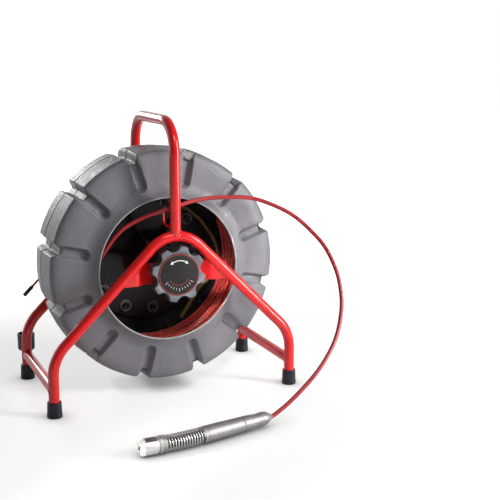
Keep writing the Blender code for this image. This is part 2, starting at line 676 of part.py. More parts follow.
# The hub: a barrel on two bearings, with a flange bolted to the rear shell's back wall
def build_hub(drum):
    front_seat = HUB_FRONT_Y + BEARING_WIDTH + GAP
    back_seat = BACK_Y - BEARING_WIDTH - GAP
    profile = [(HUB_RADIUS, BACK_Y), (HUB_RADIUS, FLANGE_BACK_Y), (FLANGE_RADIUS, FLANGE_BACK_Y),
               (FLANGE_RADIUS, FLANGE_FRONT_Y), (HUB_RADIUS + FLANGE_FILLET, FLANGE_FRONT_Y),
               (HUB_RADIUS, FLANGE_FRONT_Y - FLANGE_FILLET), (HUB_RADIUS, HUB_FRONT_Y),
               (BEARING_SEAT, HUB_FRONT_Y), (BEARING_SEAT, front_seat), (HUB_CORE_RADIUS, front_seat),
               (HUB_CORE_RADIUS, back_seat), (BEARING_SEAT, back_seat), (BEARING_SEAT, BACK_Y)]
    hub = finish_part(lathe("drum_hub", profile, ROUND_STEPS, closed=True), BLACK_PLASTIC, drum, ALONG_Y)
    for name, low in (("front_bearing", HUB_FRONT_Y), ("rear_bearing", BACK_Y - BEARING_WIDTH)):
        race = ring(name, SHAFT_BORE, BEARING_RADIUS, low, low + BEARING_WIDTH, SMALL_STEPS)
        finish_part(race, STEEL, drum, ALONG_Y)
    rotor_radius = SHAFT_BORE + ROTOR_WIDTH
    rotor = ring("slip_ring_rotor", SHAFT_BORE, rotor_radius, ROTOR_FRONT_Y, ROTOR_BACK_Y, SMALL_STEPS)
    finish_part(rotor, BRASS, drum, ALONG_Y)
    return hub


def build_hub_bolts(drum, hub, shell):
    seat = FLANGE_FRONT_Y - GAP
    washer = seat - BOLT_WASHER_THICKNESS
    top = washer - BOLT_HEAD_HEIGHT
    profile = [(0.0, BACK_Y), (BOLT_RADIUS, BACK_Y), (BOLT_RADIUS, seat), (BOLT_WASHER_RADIUS, seat),
               (BOLT_WASHER_RADIUS, washer), (BOLT_HEAD_RADIUS, washer), (BOLT_HEAD_RADIUS, top), (0.0, top)]
    for i in range(BOLT_COUNT):
        angle = BOLT_PHASE + 2 * math.pi * i / BOLT_COUNT
        centre = Vector((BOLT_CIRCLE * math.cos(angle), 0.0, BOLT_CIRCLE * math.sin(angle)))
        place = Matrix.Translation(centre) @ ALONG_Y
        finish_part(lathe(f"hub_bolt_{i + 1:02d}", profile, BOLT_STEPS), BLACK_STEEL, drum, place)
        drill = disc(f"bolt_drill_{i + 1:02d}", BOLT_RADIUS + GAP, top, BACK_Y + DRUM_WALL, BOLT_STEPS)
        make_cutter(drill, drum, place)
        cut(hub, drill)
        cut(shell, drill)


# Axle, spacers, slip ring housing and rear nut: the pieces that stay still with the stand
def build_axle(origin):
    hub_line = Matrix.Translation((0.0, 0.0, HUB_Z)) @ ALONG_Y
    nut_front = PLATE_OUTER_Y + GAP
    shaft = disc("axle_shaft", AXLE_RADIUS, KNOB_FRONT_Y + AXLE_RECESS, nut_front + NUT_THICKNESS, SMALL_STEPS)
    finish_part(shaft, STEEL, origin, hub_line)
    drag_radius = SHAFT_BORE + DRAG_WASHER_WIDTH
    drag = ring("drag_washer", SHAFT_BORE, drag_radius, DRAG_FRONT_Y, DRAG_BACK_Y, ROUND_STEPS)
    finish_part(drag, BLACK_PLASTIC, origin, hub_line)
    spacer_front = SPACER_BACK_Y - SPACER_LENGTH
    spacer_radius = SHAFT_BORE + SPACER_WALL
    spacer = ring("front_spacer", SHAFT_BORE, spacer_radius, spacer_front, SPACER_BACK_Y, SMALL_STEPS)
    finish_part(spacer, STEEL, origin, hub_line)
    stator_front = ROTOR_BACK_Y + GAP
    stator_back = PLATE_INNER_Y - GAP
    stator = ring("slip_ring_housing", SHAFT_BORE, STATOR_RADIUS, stator_front, stator_back, ROUND_STEPS)
    finish_part(stator, BLACK_PLASTIC, origin, hub_line)
    outline = circle(NUT_RADIUS, NUT_SIDES)
    nut = as_mesh(flat("rear_axle_nut", [outline, circle(SHAFT_BORE, SMALL_STEPS)], NUT_THICKNESS))
    middle = Matrix.Translation((0.0, nut_front + NUT_THICKNESS / 2, HUB_Z))
    finish_part(nut, STEEL, origin, middle @ ALONG_Y)
    build_gland(origin, (stator_front + stator_back) / 2)


def build_gland(origin, y):
    bottom = -GLAND_LENGTH
    profile = [(0.0, 0.0), (GLAND_RADIUS, 0.0), (GLAND_RADIUS, bottom), (GLAND_BORE, bottom),
               (GLAND_BORE, bottom + GLAND_BORE_DEPTH), (0.0, bottom + GLAND_BORE_DEPTH)]
    place = Matrix.Translation((0.0, y, HUB_Z - STATOR_RADIUS - GAP))
    finish_part(lathe("cord_gland", profile, SMALL_STEPS), BLACK_RUBBER, origin, place)


# Knob outline: lobes on the rim, parted by round scallops
def knob_outline():
    centre = KNOB_RADIUS - SCALLOP_DEPTH + SCALLOP_RADIUS
    reach = (centre ** 2 + SCALLOP_RADIUS ** 2 - KNOB_RADIUS ** 2) / (2 * centre * SCALLOP_RADIUS)
    half_arc = math.acos(reach)
    edge = math.atan2(SCALLOP_RADIUS * math.sin(half_arc), centre - SCALLOP_RADIUS * math.cos(half_arc))
    sector = 2 * math.pi / KNOB_LOBES
    points = []
    for lobe in range(KNOB_LOBES):
        middle = KNOB_PHASE + lobe * sector
        for i in range(SCALLOP_STEPS + 1):
            turn = math.pi - half_arc * (1 - 2 * i / SCALLOP_STEPS)
            point = Vector((centre + SCALLOP_RADIUS * math.cos(turn), -SCALLOP_RADIUS * math.sin(turn)))
            points.append(Matrix.Rotation(middle, 2) @ point)
        for i in range(1, LOBE_STEPS):
            angle = middle + edge + (sector - 2 * edge) * i / LOBE_STEPS
            points.append((KNOB_RADIUS * math.cos(angle), KNOB_RADIUS * math.sin(angle)))
    return points


def build_knob(knob, origin):
    bore = circle(INSERT_RADIUS + GAP, SMALL_STEPS)
    body = flat("lock_knob", [knob_outline(), bore], KNOB_THICKNESS)
    upright = Matrix.Rotation(math.pi / 2, 4, "X")
    middle = Matrix.Translation((0.0, KNOB_FRONT_Y + KNOB_THICKNESS / 2, 0.0))
    finish_part(body, KNOB_GREY, knob, middle @ upright)
    insert = ring("knob_insert", SHAFT_BORE, INSERT_RADIUS, KNOB_FRONT_Y, KNOB_BACK_Y, SMALL_STEPS)
    finish_part(insert, BRASS, knob, ALONG_Y)
    label = disc("knob_label", LABEL_RADIUS, LABEL_FRONT_Y, KNOB_FRONT_Y - GAP, ROUND_STEPS)
    finish_part(label, LABEL_BLACK, knob, ALONG_Y)
    washer_back = -PLATE_OUTER_Y - GAP
    washer_front = washer_back - KNOB_WASHER_THICKNESS
    washer_radius = SHAFT_BORE + KNOB_WASHER_WIDTH
    washer = ring("knob_washer", SHAFT_BORE, washer_radius, washer_front, washer_back, SMALL_STEPS)
    finish_part(washer, STEEL, origin, Matrix.Translation((0.0, 0.0, HUB_Z)) @ ALONG_Y)


# Centre line of the winding, from the back of the drum forwards, with a short straight end
def winding_path():
    total = 2 * math.pi * WINDING_LOOPS
    count = round(WINDING_LOOPS * LOOP_POINTS)
    back = CORE_BACK_Y - CORE_MARGIN
    points = []
    for i in range(count + 1):
        angle = WINDING_END_ANGLE + total * (1 - i / count)
        y = back - WINDING_WIDTH * i / count
        points.append(Vector((WINDING_RADIUS * math.cos(angle), y, WINDING_RADIUS * math.sin(angle))))
    end = WINDING_END_ANGLE
    points.append(points[-1] + Vector((math.sin(end), 0.0, -math.cos(end))) * 2 * CABLE_RADIUS)
    return points


def build_winding(drum):
    path = winding_path()
    report_gap("push_cable_winding", path, CABLE_RADIUS, LOOP_POINTS)
    finish_part(tube("push_cable_winding", path, CABLE_RADIUS, WOUND_SIDES), CABLE_RED, drum)
    flats = CORE_INNER / math.cos(math.pi / CORE_STEPS)
    core = ring("push_cable_core", flats, CORE_OUTER, CORE_FRONT_Y, CORE_BACK_Y, CORE_STEPS)
    finish_part(core, CABLE_RED, drum, ALONG_Y)
    start = (LEAD_START[0], FLANGE_FRONT_Y - GAP, LEAD_START[1])
    ahead = (LEAD_START[0], FLANGE_FRONT_Y - GAP - 2 * LEAD_RADIUS, LEAD_START[1])
    lead = [start, *smooth_path([ahead, *LEAD_ROUTE], LEAD_POINTS)]
    finish_part(tube("inner_lead", lead, LEAD_RADIUS, WIRE_SIDES), LEAD_OLIVE, drum)


# Where the camera head's pieces lie: a place and a direction, by distance from the tail end
def head_station(distance):
    straight = FERRULE_LENGTH + SLEEVE_LENGTH
    place = Vector((HEAD_TAIL[0], HEAD_TAIL[1], HEAD_Z))
    towards = Vector((-math.cos(HEAD_HEADING), -math.sin(HEAD_HEADING), 0.0))
    if distance <= straight:
        return place + towards * distance, towards
    place = place + towards * straight
    bend_radius = SPRING_LENGTH / HEAD_BEND
    turn = min((distance - straight) / SPRING_LENGTH, 1.0) * HEAD_BEND
    side = Vector((-math.sin(HEAD_HEADING), math.cos(HEAD_HEADING), 0.0))
    place = place + towards * bend_radius * math.sin(turn) + side * bend_radius * (1 - math.cos(turn))
    towards = Matrix.Rotation(-turn, 3, "Z") @ towards
    return place + towards * max(0.0, distance - straight - SPRING_LENGTH), towards


def on_head(distance, parent_place=Vector((0.0, 0.0, 0.0))):
    place, towards = head_station(distance)
    return Matrix.Translation(place - parent_place) @ towards.to_track_quat("Z", "Y").to_matrix().to_4x4()


# The free cable starts beside the last turn, clear of what turns with the drum, and ends at the head's tail
def build_free_cable(origin):
    tail, towards = head_station(-GAP)
    route = [*CABLE_ROUTE, tail - towards * 2 * CABLE_RADIUS]
    path = [*smooth_path(route, CABLE_POINTS), tail]
    finish_part(tube("push_cable_free", path, CABLE_RADIUS, WIRE_SIDES), CABLE_RED, origin)


def build_head_tail(origin):
    end = FERRULE_LENGTH - GAP
    profile = [(0.0, end), (SLEEVE_RADIUS - GAP, end), (FERRULE_RADIUS, end - FERRULE_FLARE),
               (FERRULE_RADIUS, FERRULE_TAPER), (FERRULE_NOSE_RADIUS, 0.0), (0.0, 0.0)]
    finish_part(lathe("tail_ferrule", profile, SMALL_STEPS), STEEL, origin, on_head(0.0))
    sleeve = disc("spring_sleeve", SLEEVE_RADIUS, 0.0, SLEEVE_LENGTH - GAP, SMALL_STEPS)
    finish_part(sleeve, STEEL, origin, on_head(FERRULE_LENGTH))
    start = FERRULE_LENGTH + SLEEVE_LENGTH
    step = (SPRING_LENGTH - 2 * GAP) / (FLEX_POINTS - 1)
    flex = [head_station(start + GAP + step * i)[0] for i in range(FLEX_POINTS)]
    finish_part(tube("head_flex_core", flex, FLEX_RADIUS, WIRE_SIDES), BLACK_RUBBER, origin)
    build_head_spring(origin, start)


def build_head_spring(origin, start):
    coil = SLEEVE_RADIUS - SPRING_WIRE
    margin = SPRING_WIRE + GAP
    count = round((SPRING_LENGTH - 2 * margin) / SPRING_PITCH * CURL_POINTS)
    path = []
    for i in range(count + 1):
        along = start + margin + (SPRING_LENGTH - 2 * margin) * i / count
        place, towards = head_station(along)
        side = Vector((-towards.y, towards.x, 0.0))
        angle = 2 * math.pi * i / CURL_POINTS
        path.append(place + side * coil * math.cos(angle) + Vector((0.0, 0.0, coil * math.sin(angle))))
    report_gap("head_spring", path, SPRING_WIRE, CURL_POINTS)
    finish_part(tube("head_spring", path, SPRING_WIRE, WOUND_SIDES), STEEL, origin)


def build_camera(head, head_place):
    start = FERRULE_LENGTH + SLEEVE_LENGTH + SPRING_LENGTH
    collar = disc("head_collar", COLLAR_RADIUS, 0.0, COLLAR_LENGTH - GAP, SMALL_STEPS)
    finish_part(collar, STEEL, head, on_head(start, head_place))
    body = disc("camera_body", HEAD_RADIUS, 0.0, BODY_LENGTH - GAP, SMALL_STEPS)
    finish_part(body, STEEL, head, on_head(start + COLLAR_LENGTH, head_place))
    face = start + COLLAR_LENGTH + BODY_LENGTH
    seat = BEZEL_LENGTH - WINDOW_DEPTH
    lights = LIGHT_RING_RADIUS + GAP
    profile = [(0.0, seat), (lights, seat), (lights, BEZEL_LENGTH),
               (HEAD_RADIUS - BEZEL_ROUNDING, BEZEL_LENGTH), (HEAD_RADIUS, BEZEL_LENGTH - BEZEL_ROUNDING),
               (HEAD_RADIUS, 0.0), (0.0, 0.0)]
    finish_part(lathe("face_bezel", profile, SMALL_STEPS), WHITE_PLASTIC, head, on_head(face, head_place))
    window = disc("lens_window", WINDOW_RADIUS, seat + GAP, BEZEL_LENGTH, SMALL_STEPS)
    finish_part(window, LENS_GLASS, head, on_head(face, head_place))
    glow = ring("light_ring", WINDOW_RADIUS + GAP, LIGHT_RING_RADIUS, seat + GAP, BEZEL_LENGTH, SMALL_STEPS)
    finish_part(glow, WHITE_PLASTIC, head, on_head(face, head_place))


def shade_round_pieces():
    for obj in PARTS.objects:
        if obj.type == "MESH":
            obj.data.shade_smooth()
            obj.data.set_sharp_from_angle(angle=SHARP_ANGLE)


clear_scene()
PARTS = new_collection("inspection_reel")
CUTTERS = new_collection("inspection_reel_cutters")
ORIGIN = pivot("reel_origin", (0.0, -BOX_CENTRE_Y, 0.0))
DRUM = pivot("drum_axis", (0.0, 0.0, HUB_Z), ORIGIN)
KNOB = pivot("knob_axis", (0.0, 0.0, HUB_Z), ORIGIN)
HEAD_PLACE = head_station(FERRULE_LENGTH + SLEEVE_LENGTH + SPRING_LENGTH / 2)[0]
HEAD = pivot("head_pivot", HEAD_PLACE, ORIGIN)

build_stand(ORIGIN)
build_guide(ORIGIN)
build_holster(ORIGIN)
build_cord_hooks(ORIGIN)
build_axle(ORIGIN)
build_drum_half("drum_front_half", shell_rows(LIP_RADIUS, FRONT_RISE, LIP_RADIUS), -1, DRUM)
REAR_ROWS = shell_rows(HUB_RADIUS + GAP, BACK_RISE, GROOVE_END_RADIUS)
REAR_SHELL = build_drum_half("drum_rear_half", REAR_ROWS, 1, DRUM)
build_hub_bolts(DRUM, build_hub(DRUM), REAR_SHELL)
build_winding(DRUM)
build_knob(KNOB, ORIGIN)
build_free_cable(ORIGIN)
build_head_tail(ORIGIN)
build_camera(HEAD, HEAD_PLACE)
shade_round_pieces()
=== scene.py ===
# A push-cable inspection reel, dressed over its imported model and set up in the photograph's view.
import math

import bmesh
import bpy
import numpy as np
from mathutils import Matrix, Vector


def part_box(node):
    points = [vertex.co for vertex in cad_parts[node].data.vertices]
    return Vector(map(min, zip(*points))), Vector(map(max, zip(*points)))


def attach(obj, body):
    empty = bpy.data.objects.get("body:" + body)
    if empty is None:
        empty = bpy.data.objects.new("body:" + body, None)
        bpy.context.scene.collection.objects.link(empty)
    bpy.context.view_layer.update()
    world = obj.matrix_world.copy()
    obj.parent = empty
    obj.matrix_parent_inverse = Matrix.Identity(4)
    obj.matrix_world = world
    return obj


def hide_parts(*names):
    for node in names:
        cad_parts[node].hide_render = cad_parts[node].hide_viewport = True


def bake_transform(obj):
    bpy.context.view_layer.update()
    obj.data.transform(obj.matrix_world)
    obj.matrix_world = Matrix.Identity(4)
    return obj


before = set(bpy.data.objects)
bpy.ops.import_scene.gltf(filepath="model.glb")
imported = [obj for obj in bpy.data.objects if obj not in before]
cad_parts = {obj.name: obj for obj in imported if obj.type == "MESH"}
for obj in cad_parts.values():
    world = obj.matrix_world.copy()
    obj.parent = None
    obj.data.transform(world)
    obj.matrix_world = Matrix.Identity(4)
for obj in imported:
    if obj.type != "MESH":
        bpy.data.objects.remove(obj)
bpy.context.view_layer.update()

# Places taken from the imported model: the drum's mid plane and its axle
MID_Y = (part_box("drum_front_half")[1][1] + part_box("drum_rear_half")[0][1]) / 2
HUB_Z = (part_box("axle_shaft")[0][2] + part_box("axle_shaft")[1][2]) / 2

# The camera, fitted to the photograph
FOCAL_LENGTH = 72.286
CAMERA_PLACE = (-0.782577, -2.354234 + MID_Y, 0.852722)
YAW = math.radians(23.8796)
PITCH = math.radians(11.6406)
ROLL = math.radians(-0.2041)

# Sizes of the stand, in metres
GAP = 0.0003
TUBE_RADIUS = 0.0127
TUBE_SIDES = 36
TUBE_Y = 0.15185
LEG_X = 0.302273
LEG_END_Z = 0.0103
KNEE_Z = 0.137521
ARCH_CORNER_Z = 0.439794
ARCH_APEX_Z = 0.405
ARCH_BEND = 0.084
KNEE_BEND = 0.100
RAIL_Z = 0.064
HANDLE_TOP_Z = 0.673
HANDLE_BEND = 0.076
FOOT_HEIGHT = 0.037
PLATE_HEIGHT = 0.050
PLATE_THICKNESS = 0.004
PLATE_DISH = 0.016
PLATE_DISH_INNER = 0.069
PLATE_DISH_OUTER = 0.098
WIRE_RADIUS = 0.003
WIRE_BEND = 0.014
HOOP_REACH = 0.060
HOOP_TURN = math.radians(9)
HOOP_BOTTOM_Z = 0.424
HOOP_TOP_Z = 0.4785
GRIP_RADIUS = 0.005
GRIP_DROP = 0.019
GRIP_LENGTH = 0.041
HOOK_FOOT_X = 0.184
HOOK_OUT = 0.047
HOOK_BACK = 0.038
HOOK_LENGTH = 0.110
HOLSTER_PLACE = (-0.296143, 0.186614)
HOLSTER_LOW = 0.066
HOLSTER_HIGH = 0.110

# Sizes of the drum
DRUM_RADIUS = 0.290
RIM_DRAFT = 0.005
RIM_DEPTH = 0.070
CORNER_Y = 0.0808
DRUM_WALL = 0.005
LIP_RADIUS = 0.176
LIP_Y = 0.107
BACK_Y = 0.099
BACK_FLAT_RADIUS = 0.193
FACE_RADIUS = 0.271
FACE_Y = 0.084
SEAM_Y = 0.0036
SEAM_GAP = 0.00015
NOTCH_COUNT = 12
NOTCH_PHASE = math.radians(17.3)
NOTCH_DEPTH = 0.020
NOTCH_MOUTH = 0.0187
NOTCH_FLOOR = 0.0072
GROOVE_DEPTH = 0.013
GROOVE_HALF = 0.0165
GROOVE_WALL = 0.0105
GROOVE_FROM = 0.262
GROOVE_TO = 0.212
FLARE_RADIUS = 0.212
FLARE_RISE = 0.015
HUB_RADIUS = 0.046
HUB_BORE = 0.0244
HUB_FRONT_Y = -0.11795
FLANGE_RADIUS = 0.170
FLANGE_FRONT_Y = 0.0847
FLANGE_BACK_Y = 0.0937
BOLT_COUNT = 12
BOLT_CIRCLE = 0.143
BOLT_PHASE = math.radians(-113)
WINDING_RADIUS = 0.212
WINDING_BACK_Y = 0.050
WINDING_FRONT_Y = -0.062
WINDING_LOOPS = 10.5
WINDING_END = math.radians(205)
WINDING_STEP = 0.0062
WINDING_SWAP = math.radians(125)
WINDING_CLEAR_Y = -0.046
CORE_INNER = 0.2176
CORE_OUTER = 0.2594
CORE_FRONT_Y = -0.068
CORE_BACK_Y = 0.056
LEAD_RADIUS = 0.0055
NUT_FRONT_Y = 0.13815
NUT_THICKNESS = 0.010

# Sizes of the knob
KNOB_RADIUS = 0.0675
KNOB_FRONT_Y = -0.17395
KNOB_BACK_Y = -0.14045
KNOB_LOBES = 8
KNOB_PHASE = math.radians(10)
KNOB_FACE_ROWS = 8
SCALLOP_RADIUS = 0.017
SCALLOP_DEPTH = 0.013
LABEL_RADIUS = 0.0505
LABEL_FRONT_Y = -0.17575
MARK_FRONT_Y = LABEL_FRONT_Y - 0.00012
MARK_THICKNESS = 0.0004

# Sizes of the free cable and the camera head
CABLE_RADIUS = 0.005
HEAD_TAIL = Vector((0.1347, -0.3964, 0.0203))
HEAD_HEADING = math.radians(13)
HEAD_BEND = math.radians(10)
HEAD_STEPS = 56
FERRULE_LENGTH = 0.080
SLEEVE_LENGTH = 0.107
SPRING_LENGTH = 0.0875
COLLAR_LENGTH = 0.019
BODY_LENGTH = 0.0315
SLEEVE_RADIUS = 0.0188
COLLAR_RADIUS = 0.0198
HEAD_RADIUS = 0.0186
SPRING_WIRE = 0.0016
SPRING_TURNS = 13.5
SPRING_SIDES = 26
FLEX_RADIUS = 0.0112
FLEX_RIPPLE = 0.0007

# Centre line of the free cable, in the stand's own frame
CABLE_ROUTE = [
    (-0.114, -0.056, 0.153), (-0.163, -0.058, 0.202), (-0.185, -0.062, 0.249), (-0.187, -0.070, 0.300),
    (-0.162, -0.088, 0.358), (-0.120, -0.098, 0.415), (-0.074, -0.110, 0.444), (-0.028, -0.123, 0.461),
    (0.021, -0.127, 0.475), (0.080, -0.126, 0.486), (0.147, -0.130, 0.487), (0.207, -0.137, 0.481),
    (0.259, -0.152, 0.462), (0.302, -0.170, 0.437), (0.336, -0.193, 0.403), (0.364, -0.219, 0.363),
    (0.379, -0.251, 0.310), (0.378, -0.278, 0.264), (0.368, -0.301, 0.223), (0.344, -0.327, 0.175),
    (0.313, -0.347, 0.137), (0.271, -0.365, 0.099), (0.225, -0.378, 0.066), (0.185, -0.386, 0.040)]

# Centre line of the lead inside the drum, as offsets from the hub's axis
LEAD_ROUTE = [
    (0.096, 0.0844, 0.121), (0.096, 0.0734, 0.121), (0.116, 0.068, 0.112), (0.152, 0.065, 0.077),
    (0.177, 0.064, 0.040), (0.192, 0.062, 0.005), (0.194, 0.060, -0.030), (0.172, 0.059, -0.066),
    (0.132, 0.057, -0.104), (0.106, 0.054, -0.142), (0.082, 0.050, -0.172)]

# The stand's own frame has its middle on the drum's mid plane; the hub's has its middle on the axle
STAND = Matrix.Translation((0.0, MID_Y, 0.0))
HUB = Matrix.Translation((0.0, MID_Y, HUB_Z))
LIE_BACK = Matrix.Rotation(-math.pi / 2, 4, "X")
AXLE = HUB @ LIE_BACK

# How a bar ends: pairs of a distance in from its end, in radii, and the share of its radius there
CUT_END = [(0.0, 0.9), (0.1, 1.0)]
DOMED_END = [(1 - math.cos(a), math.sin(a)) for a in (0.15, 0.5, 0.85, 1.2, math.pi / 2)]

# Each lamp's name, place, aim, size, watts and spread in degrees, and the piece a lamp's light is kept off
MIDDLE = (0.0, 0.0, 0.35)
LAMPS = [
    ("back_panel", (-0.65, 2.4, 1.3), MIDDLE, (1.1, 1.0), 24.0, 180.0),
    ("side_panel", (-1.9, 1.9, 0.7), MIDDLE, (0.9, 1.2), 8.0, 180.0),
    ("key", (2.05, -1.75, 0.95), MIDDLE, (0.5, 1.8), 80.0, 180.0),
    ("fill", (0.4, -1.9, 2.4), (0.0, 0.0, 0.3), (0.9, 0.9), 14.0, 180.0),
    ("drum_spot", (-0.55, -2.0, 1.7), (0.22, 0.0, 0.18), (0.25, 0.25), 0.26, 7.0),
    ("head_spot", (-1.5, -1.5, 0.55), (-0.15, -0.47, 0.02), (0.22, 0.2), 0.18, 9.0)]
FLAGGED = {"back_panel": "right_cross_rail"}

# Surroundings; a pair is a strength at the far left and at the right
AMBIENT = (0.04, 0.36)
AMBIENT_OVERHEAD = 0.45
MIRRORED = (0.09, 0.24)
MIRRORED_BACKDROP = 0.55
MIRRORED_CORNER = 0.15
FLOOR_COLOUR = (0.88, 0.88, 0.88, 1.0)
FLOOR_SIZE = 8
FLOOR_GLOW = 1.45
FLOOR_GLOW_NEAR = 0.40
FLOOR_IN_MIRRORS = 0.25
# How far the floor's painted contact shadow reaches
CONTACT_SHADOW_REACH = 0.05


# A new object in the scene
def placed(name, data):
    made = bpy.data.objects.new(name, data)
    bpy.context.scene.collection.objects.link(made)
    return made


def build_camera():
    data = bpy.data.cameras.new("view")
    data.sensor_width = 36.0
    data.lens = FOCAL_LENGTH
    data.clip_start = 0.05
    data.clip_end = 50.0
    camera = placed("view", data)
    ahead = Vector((math.sin(YAW) * math.cos(PITCH), math.cos(YAW) * math.cos(PITCH), -math.sin(PITCH)))
    right = Matrix.Rotation(ROLL, 3, ahead) @ Vector((math.cos(YAW), -math.sin(YAW), 0.0))
    turn = Matrix((right, right.cross(ahead), -ahead)).transposed()
    camera.matrix_world = Matrix.Translation(CAMERA_PLACE) @ turn.to_4x4()
    bpy.context.scene.camera = camera


# Shader nodes

# A node with its inputs filled: another node's socket is linked, a plain value is set
def add_node(tree, kind, inputs=None, **settings):
    node = tree.nodes.new("ShaderNode" + kind)
    for name, value in settings.items():
        setattr(node, name, value)
    for key, value in (inputs or {}).items():
        if isinstance(value, bpy.types.NodeSocket):
            tree.links.new(value, node.inputs[key])
        else:
            node.inputs[key].default_value = value
    return node


def maths(tree, operation, a, b):
    return add_node(tree, "Math", {0: a, 1: b}, operation=operation).outputs[0]


# A value carried from one range to another and held at its ends
def remap(tree, value, reach, to, smooth=False):
    inputs = {"Value": value, "From Min": reach[0], "From Max": reach[1], "To Min": to[0], "To Max": to[1]}
    kind = "SMOOTHSTEP" if smooth else "LINEAR"
    return add_node(tree, "MapRange", inputs, interpolation_type=kind).outputs["Result"]


# Materials

# A principled material: two tones mixed by cloudy noise, uneven gloss, a fine relief, and where asked a
# lighter tone on sharp convex edges
def surface(name, tones, gloss, cloud, relief=None, stretch=None, turn=None, edge_lightening=None, **sockets):
    made = bpy.data.materials.new(name)
    made.use_nodes = True
    tree = made.node_tree
    shader = tree.nodes["Principled BSDF"]
    for socket, value in sockets.items():
        shader.inputs[socket.replace("_", " ")].default_value = value
    place = add_node(tree, "TexCoord").outputs["Object"]
    if turn:
        mapped = {"Vector": place, "Rotation": turn, "Scale": stretch or (1.0, 1.0, 1.0)}
        place = add_node(tree, "Mapping", mapped, vector_type="TEXTURE").outputs["Vector"]

    def noise(scale, detail):
        inputs = {"Scale": scale, "Detail": detail, "Vector": place}
        return add_node(tree, "TexNoise", inputs).outputs["Fac"]

    cloudy = (0.3, 0.7)
    ramp = add_node(tree, "ValToRGB", {"Fac": noise(cloud, 4.0)})
    for element, position, tone in zip(ramp.color_ramp.elements, cloudy, tones):
        element.position = position
        element.color = (*tone, 1.0)
    colour = ramp.outputs["Color"]
    # Sharp convex edges, found by pointiness, are mixed towards a lighter tone: on the knob this is a painted
    # highlight along its edges, and on the shell it makes the sharp edges lighter
    if edge_lightening:
        edge_tone, amount = edge_lightening
        edges = add_node(tree, "NewGeometry").outputs["Pointiness"]
        share = remap(tree, edges, (0.53, 0.62), (0.0, amount))
        factor, first, second, result = 0, 6, 7, 2
        mixed = {factor: share, first: colour, second: (*edge_tone, 1.0)}
        colour = add_node(tree, "Mix", mixed, data_type="RGBA").outputs[result]
    tree.links.new(colour, shader.inputs["Base Color"])
    tree.links.new(remap(tree, noise(cloud * 5.0, 5.0), cloudy, gloss), shader.inputs["Roughness"])
    if relief:
        kind, scale, depth = relief
        if kind == "pebble":
            inputs = {"Vector": place, "Scale": scale}
            height = add_node(tree, "TexVoronoi", inputs, feature="SMOOTH_F1").outputs["Distance"]
        else:
            height = noise(scale, 3.0)
        bump = add_node(tree, "Bump", {"Height": height, "Strength": 1.0, "Distance": depth})
        tree.links.new(bump.outputs["Normal"], shader.inputs["Normal"])
    return made


ALONG_HEAD = (0.0, 0.0, HEAD_HEADING)
RED = surface("red_enamel", ((0.65, 0.008, 0.010), (0.74, 0.012, 0.014)), (0.11, 0.17), 9.0,
              ("noise", 260.0, 0.00002), Specular_IOR_Level=0.45, Coat_Weight=0.2, Coat_Roughness=0.06)
WELD = surface("painted_weld", ((0.52, 0.010, 0.012), (0.64, 0.016, 0.018)), (0.2, 0.34), 60.0,
               ("noise", 700.0, 0.0002), Coat_Weight=0.4, Coat_Roughness=0.12)
SHELL = surface("pebbled_shell", ((0.154, 0.149, 0.165), (0.191, 0.185, 0.203)), (0.34, 0.46), 14.0,
                ("pebble", 420.0, 0.0007), edge_lightening=((0.30, 0.30, 0.31), 0.4))
# A lighter grey for the rolled lip at the drum's mouth: a painted highlight
LIP_HIGHLIGHT = surface("lip_painted_highlight", ((0.30, 0.30, 0.30), (0.40, 0.40, 0.40)), (0.4, 0.5), 60.0,
               ("noise", 900.0, 0.0001))
# The shell's inner faces, near black: painted shade inside the drum
INSIDE_SHADE = surface("shell_inside_painted_shade", ((0.008, 0.008, 0.009), (0.014, 0.014, 0.015)), (0.55, 0.7), 30.0,
                 ("pebble", 600.0, 0.0003))
BLACK = surface("black_moulding", ((0.012, 0.012, 0.014), (0.019, 0.019, 0.021)), (0.34, 0.48), 25.0,
                ("noise", 900.0, 0.00008))
# Light grey for the raised rings round the hub's screws, far lighter than the hub they stand on: a painted
# highlight
BOSS_RING_HIGHLIGHT = surface("boss_ring_painted_highlight", ((0.15, 0.15, 0.154), (0.20, 0.20, 0.204)), (0.28, 0.4), 90.0,
               ("noise", 900.0, 0.00006))
RUBBER = surface("foot_rubber", ((0.007, 0.008, 0.014), (0.013, 0.014, 0.022)), (0.3, 0.44), 45.0,
                 ("noise", 1100.0, 0.0001), Specular_IOR_Level=0.35)
VINYL = surface("dipped_vinyl", ((0.007, 0.007, 0.009), (0.013, 0.013, 0.015)), (0.28, 0.42), 80.0,
                ("noise", 500.0, 0.00008))
# The knob's lighter edges are a painted highlight
KNOB = surface("knob_plastic", ((0.115, 0.124, 0.150), (0.145, 0.154, 0.182)), (0.36, 0.48), 40.0,
               ("pebble", 1300.0, 0.00012), edge_lightening=((0.34, 0.36, 0.40), 0.6))
# A darker copy of the knob's plastic for its sides and back: painted shade
KNOB_SIDE_SHADE = surface("knob_side_painted_shade", ((0.030, 0.032, 0.037), (0.045, 0.048, 0.054)), (0.42, 0.54), 40.0,
               ("pebble", 1300.0, 0.00012))
BADGE = surface("badge_film", ((0.010, 0.009, 0.009), (0.015, 0.014, 0.014)), (0.3, 0.42), 60.0,
                ("noise", 1500.0, 0.00002), Specular_IOR_Level=0.3)
BADGE_RED = surface("badge_red", ((0.55, 0.035, 0.02), (0.62, 0.045, 0.026)), (0.3, 0.4), 90.0)
BADGE_WHITE = surface("badge_white", ((0.72, 0.72, 0.71), (0.80, 0.80, 0.79)), (0.3, 0.42), 90.0)
JACKET = surface("cable_jacket", ((0.35, 0.020, 0.024), (0.43, 0.028, 0.032)), (0.18, 0.28), 28.0,
                 ("noise", 400.0, 0.00003), Specular_IOR_Level=0.5)
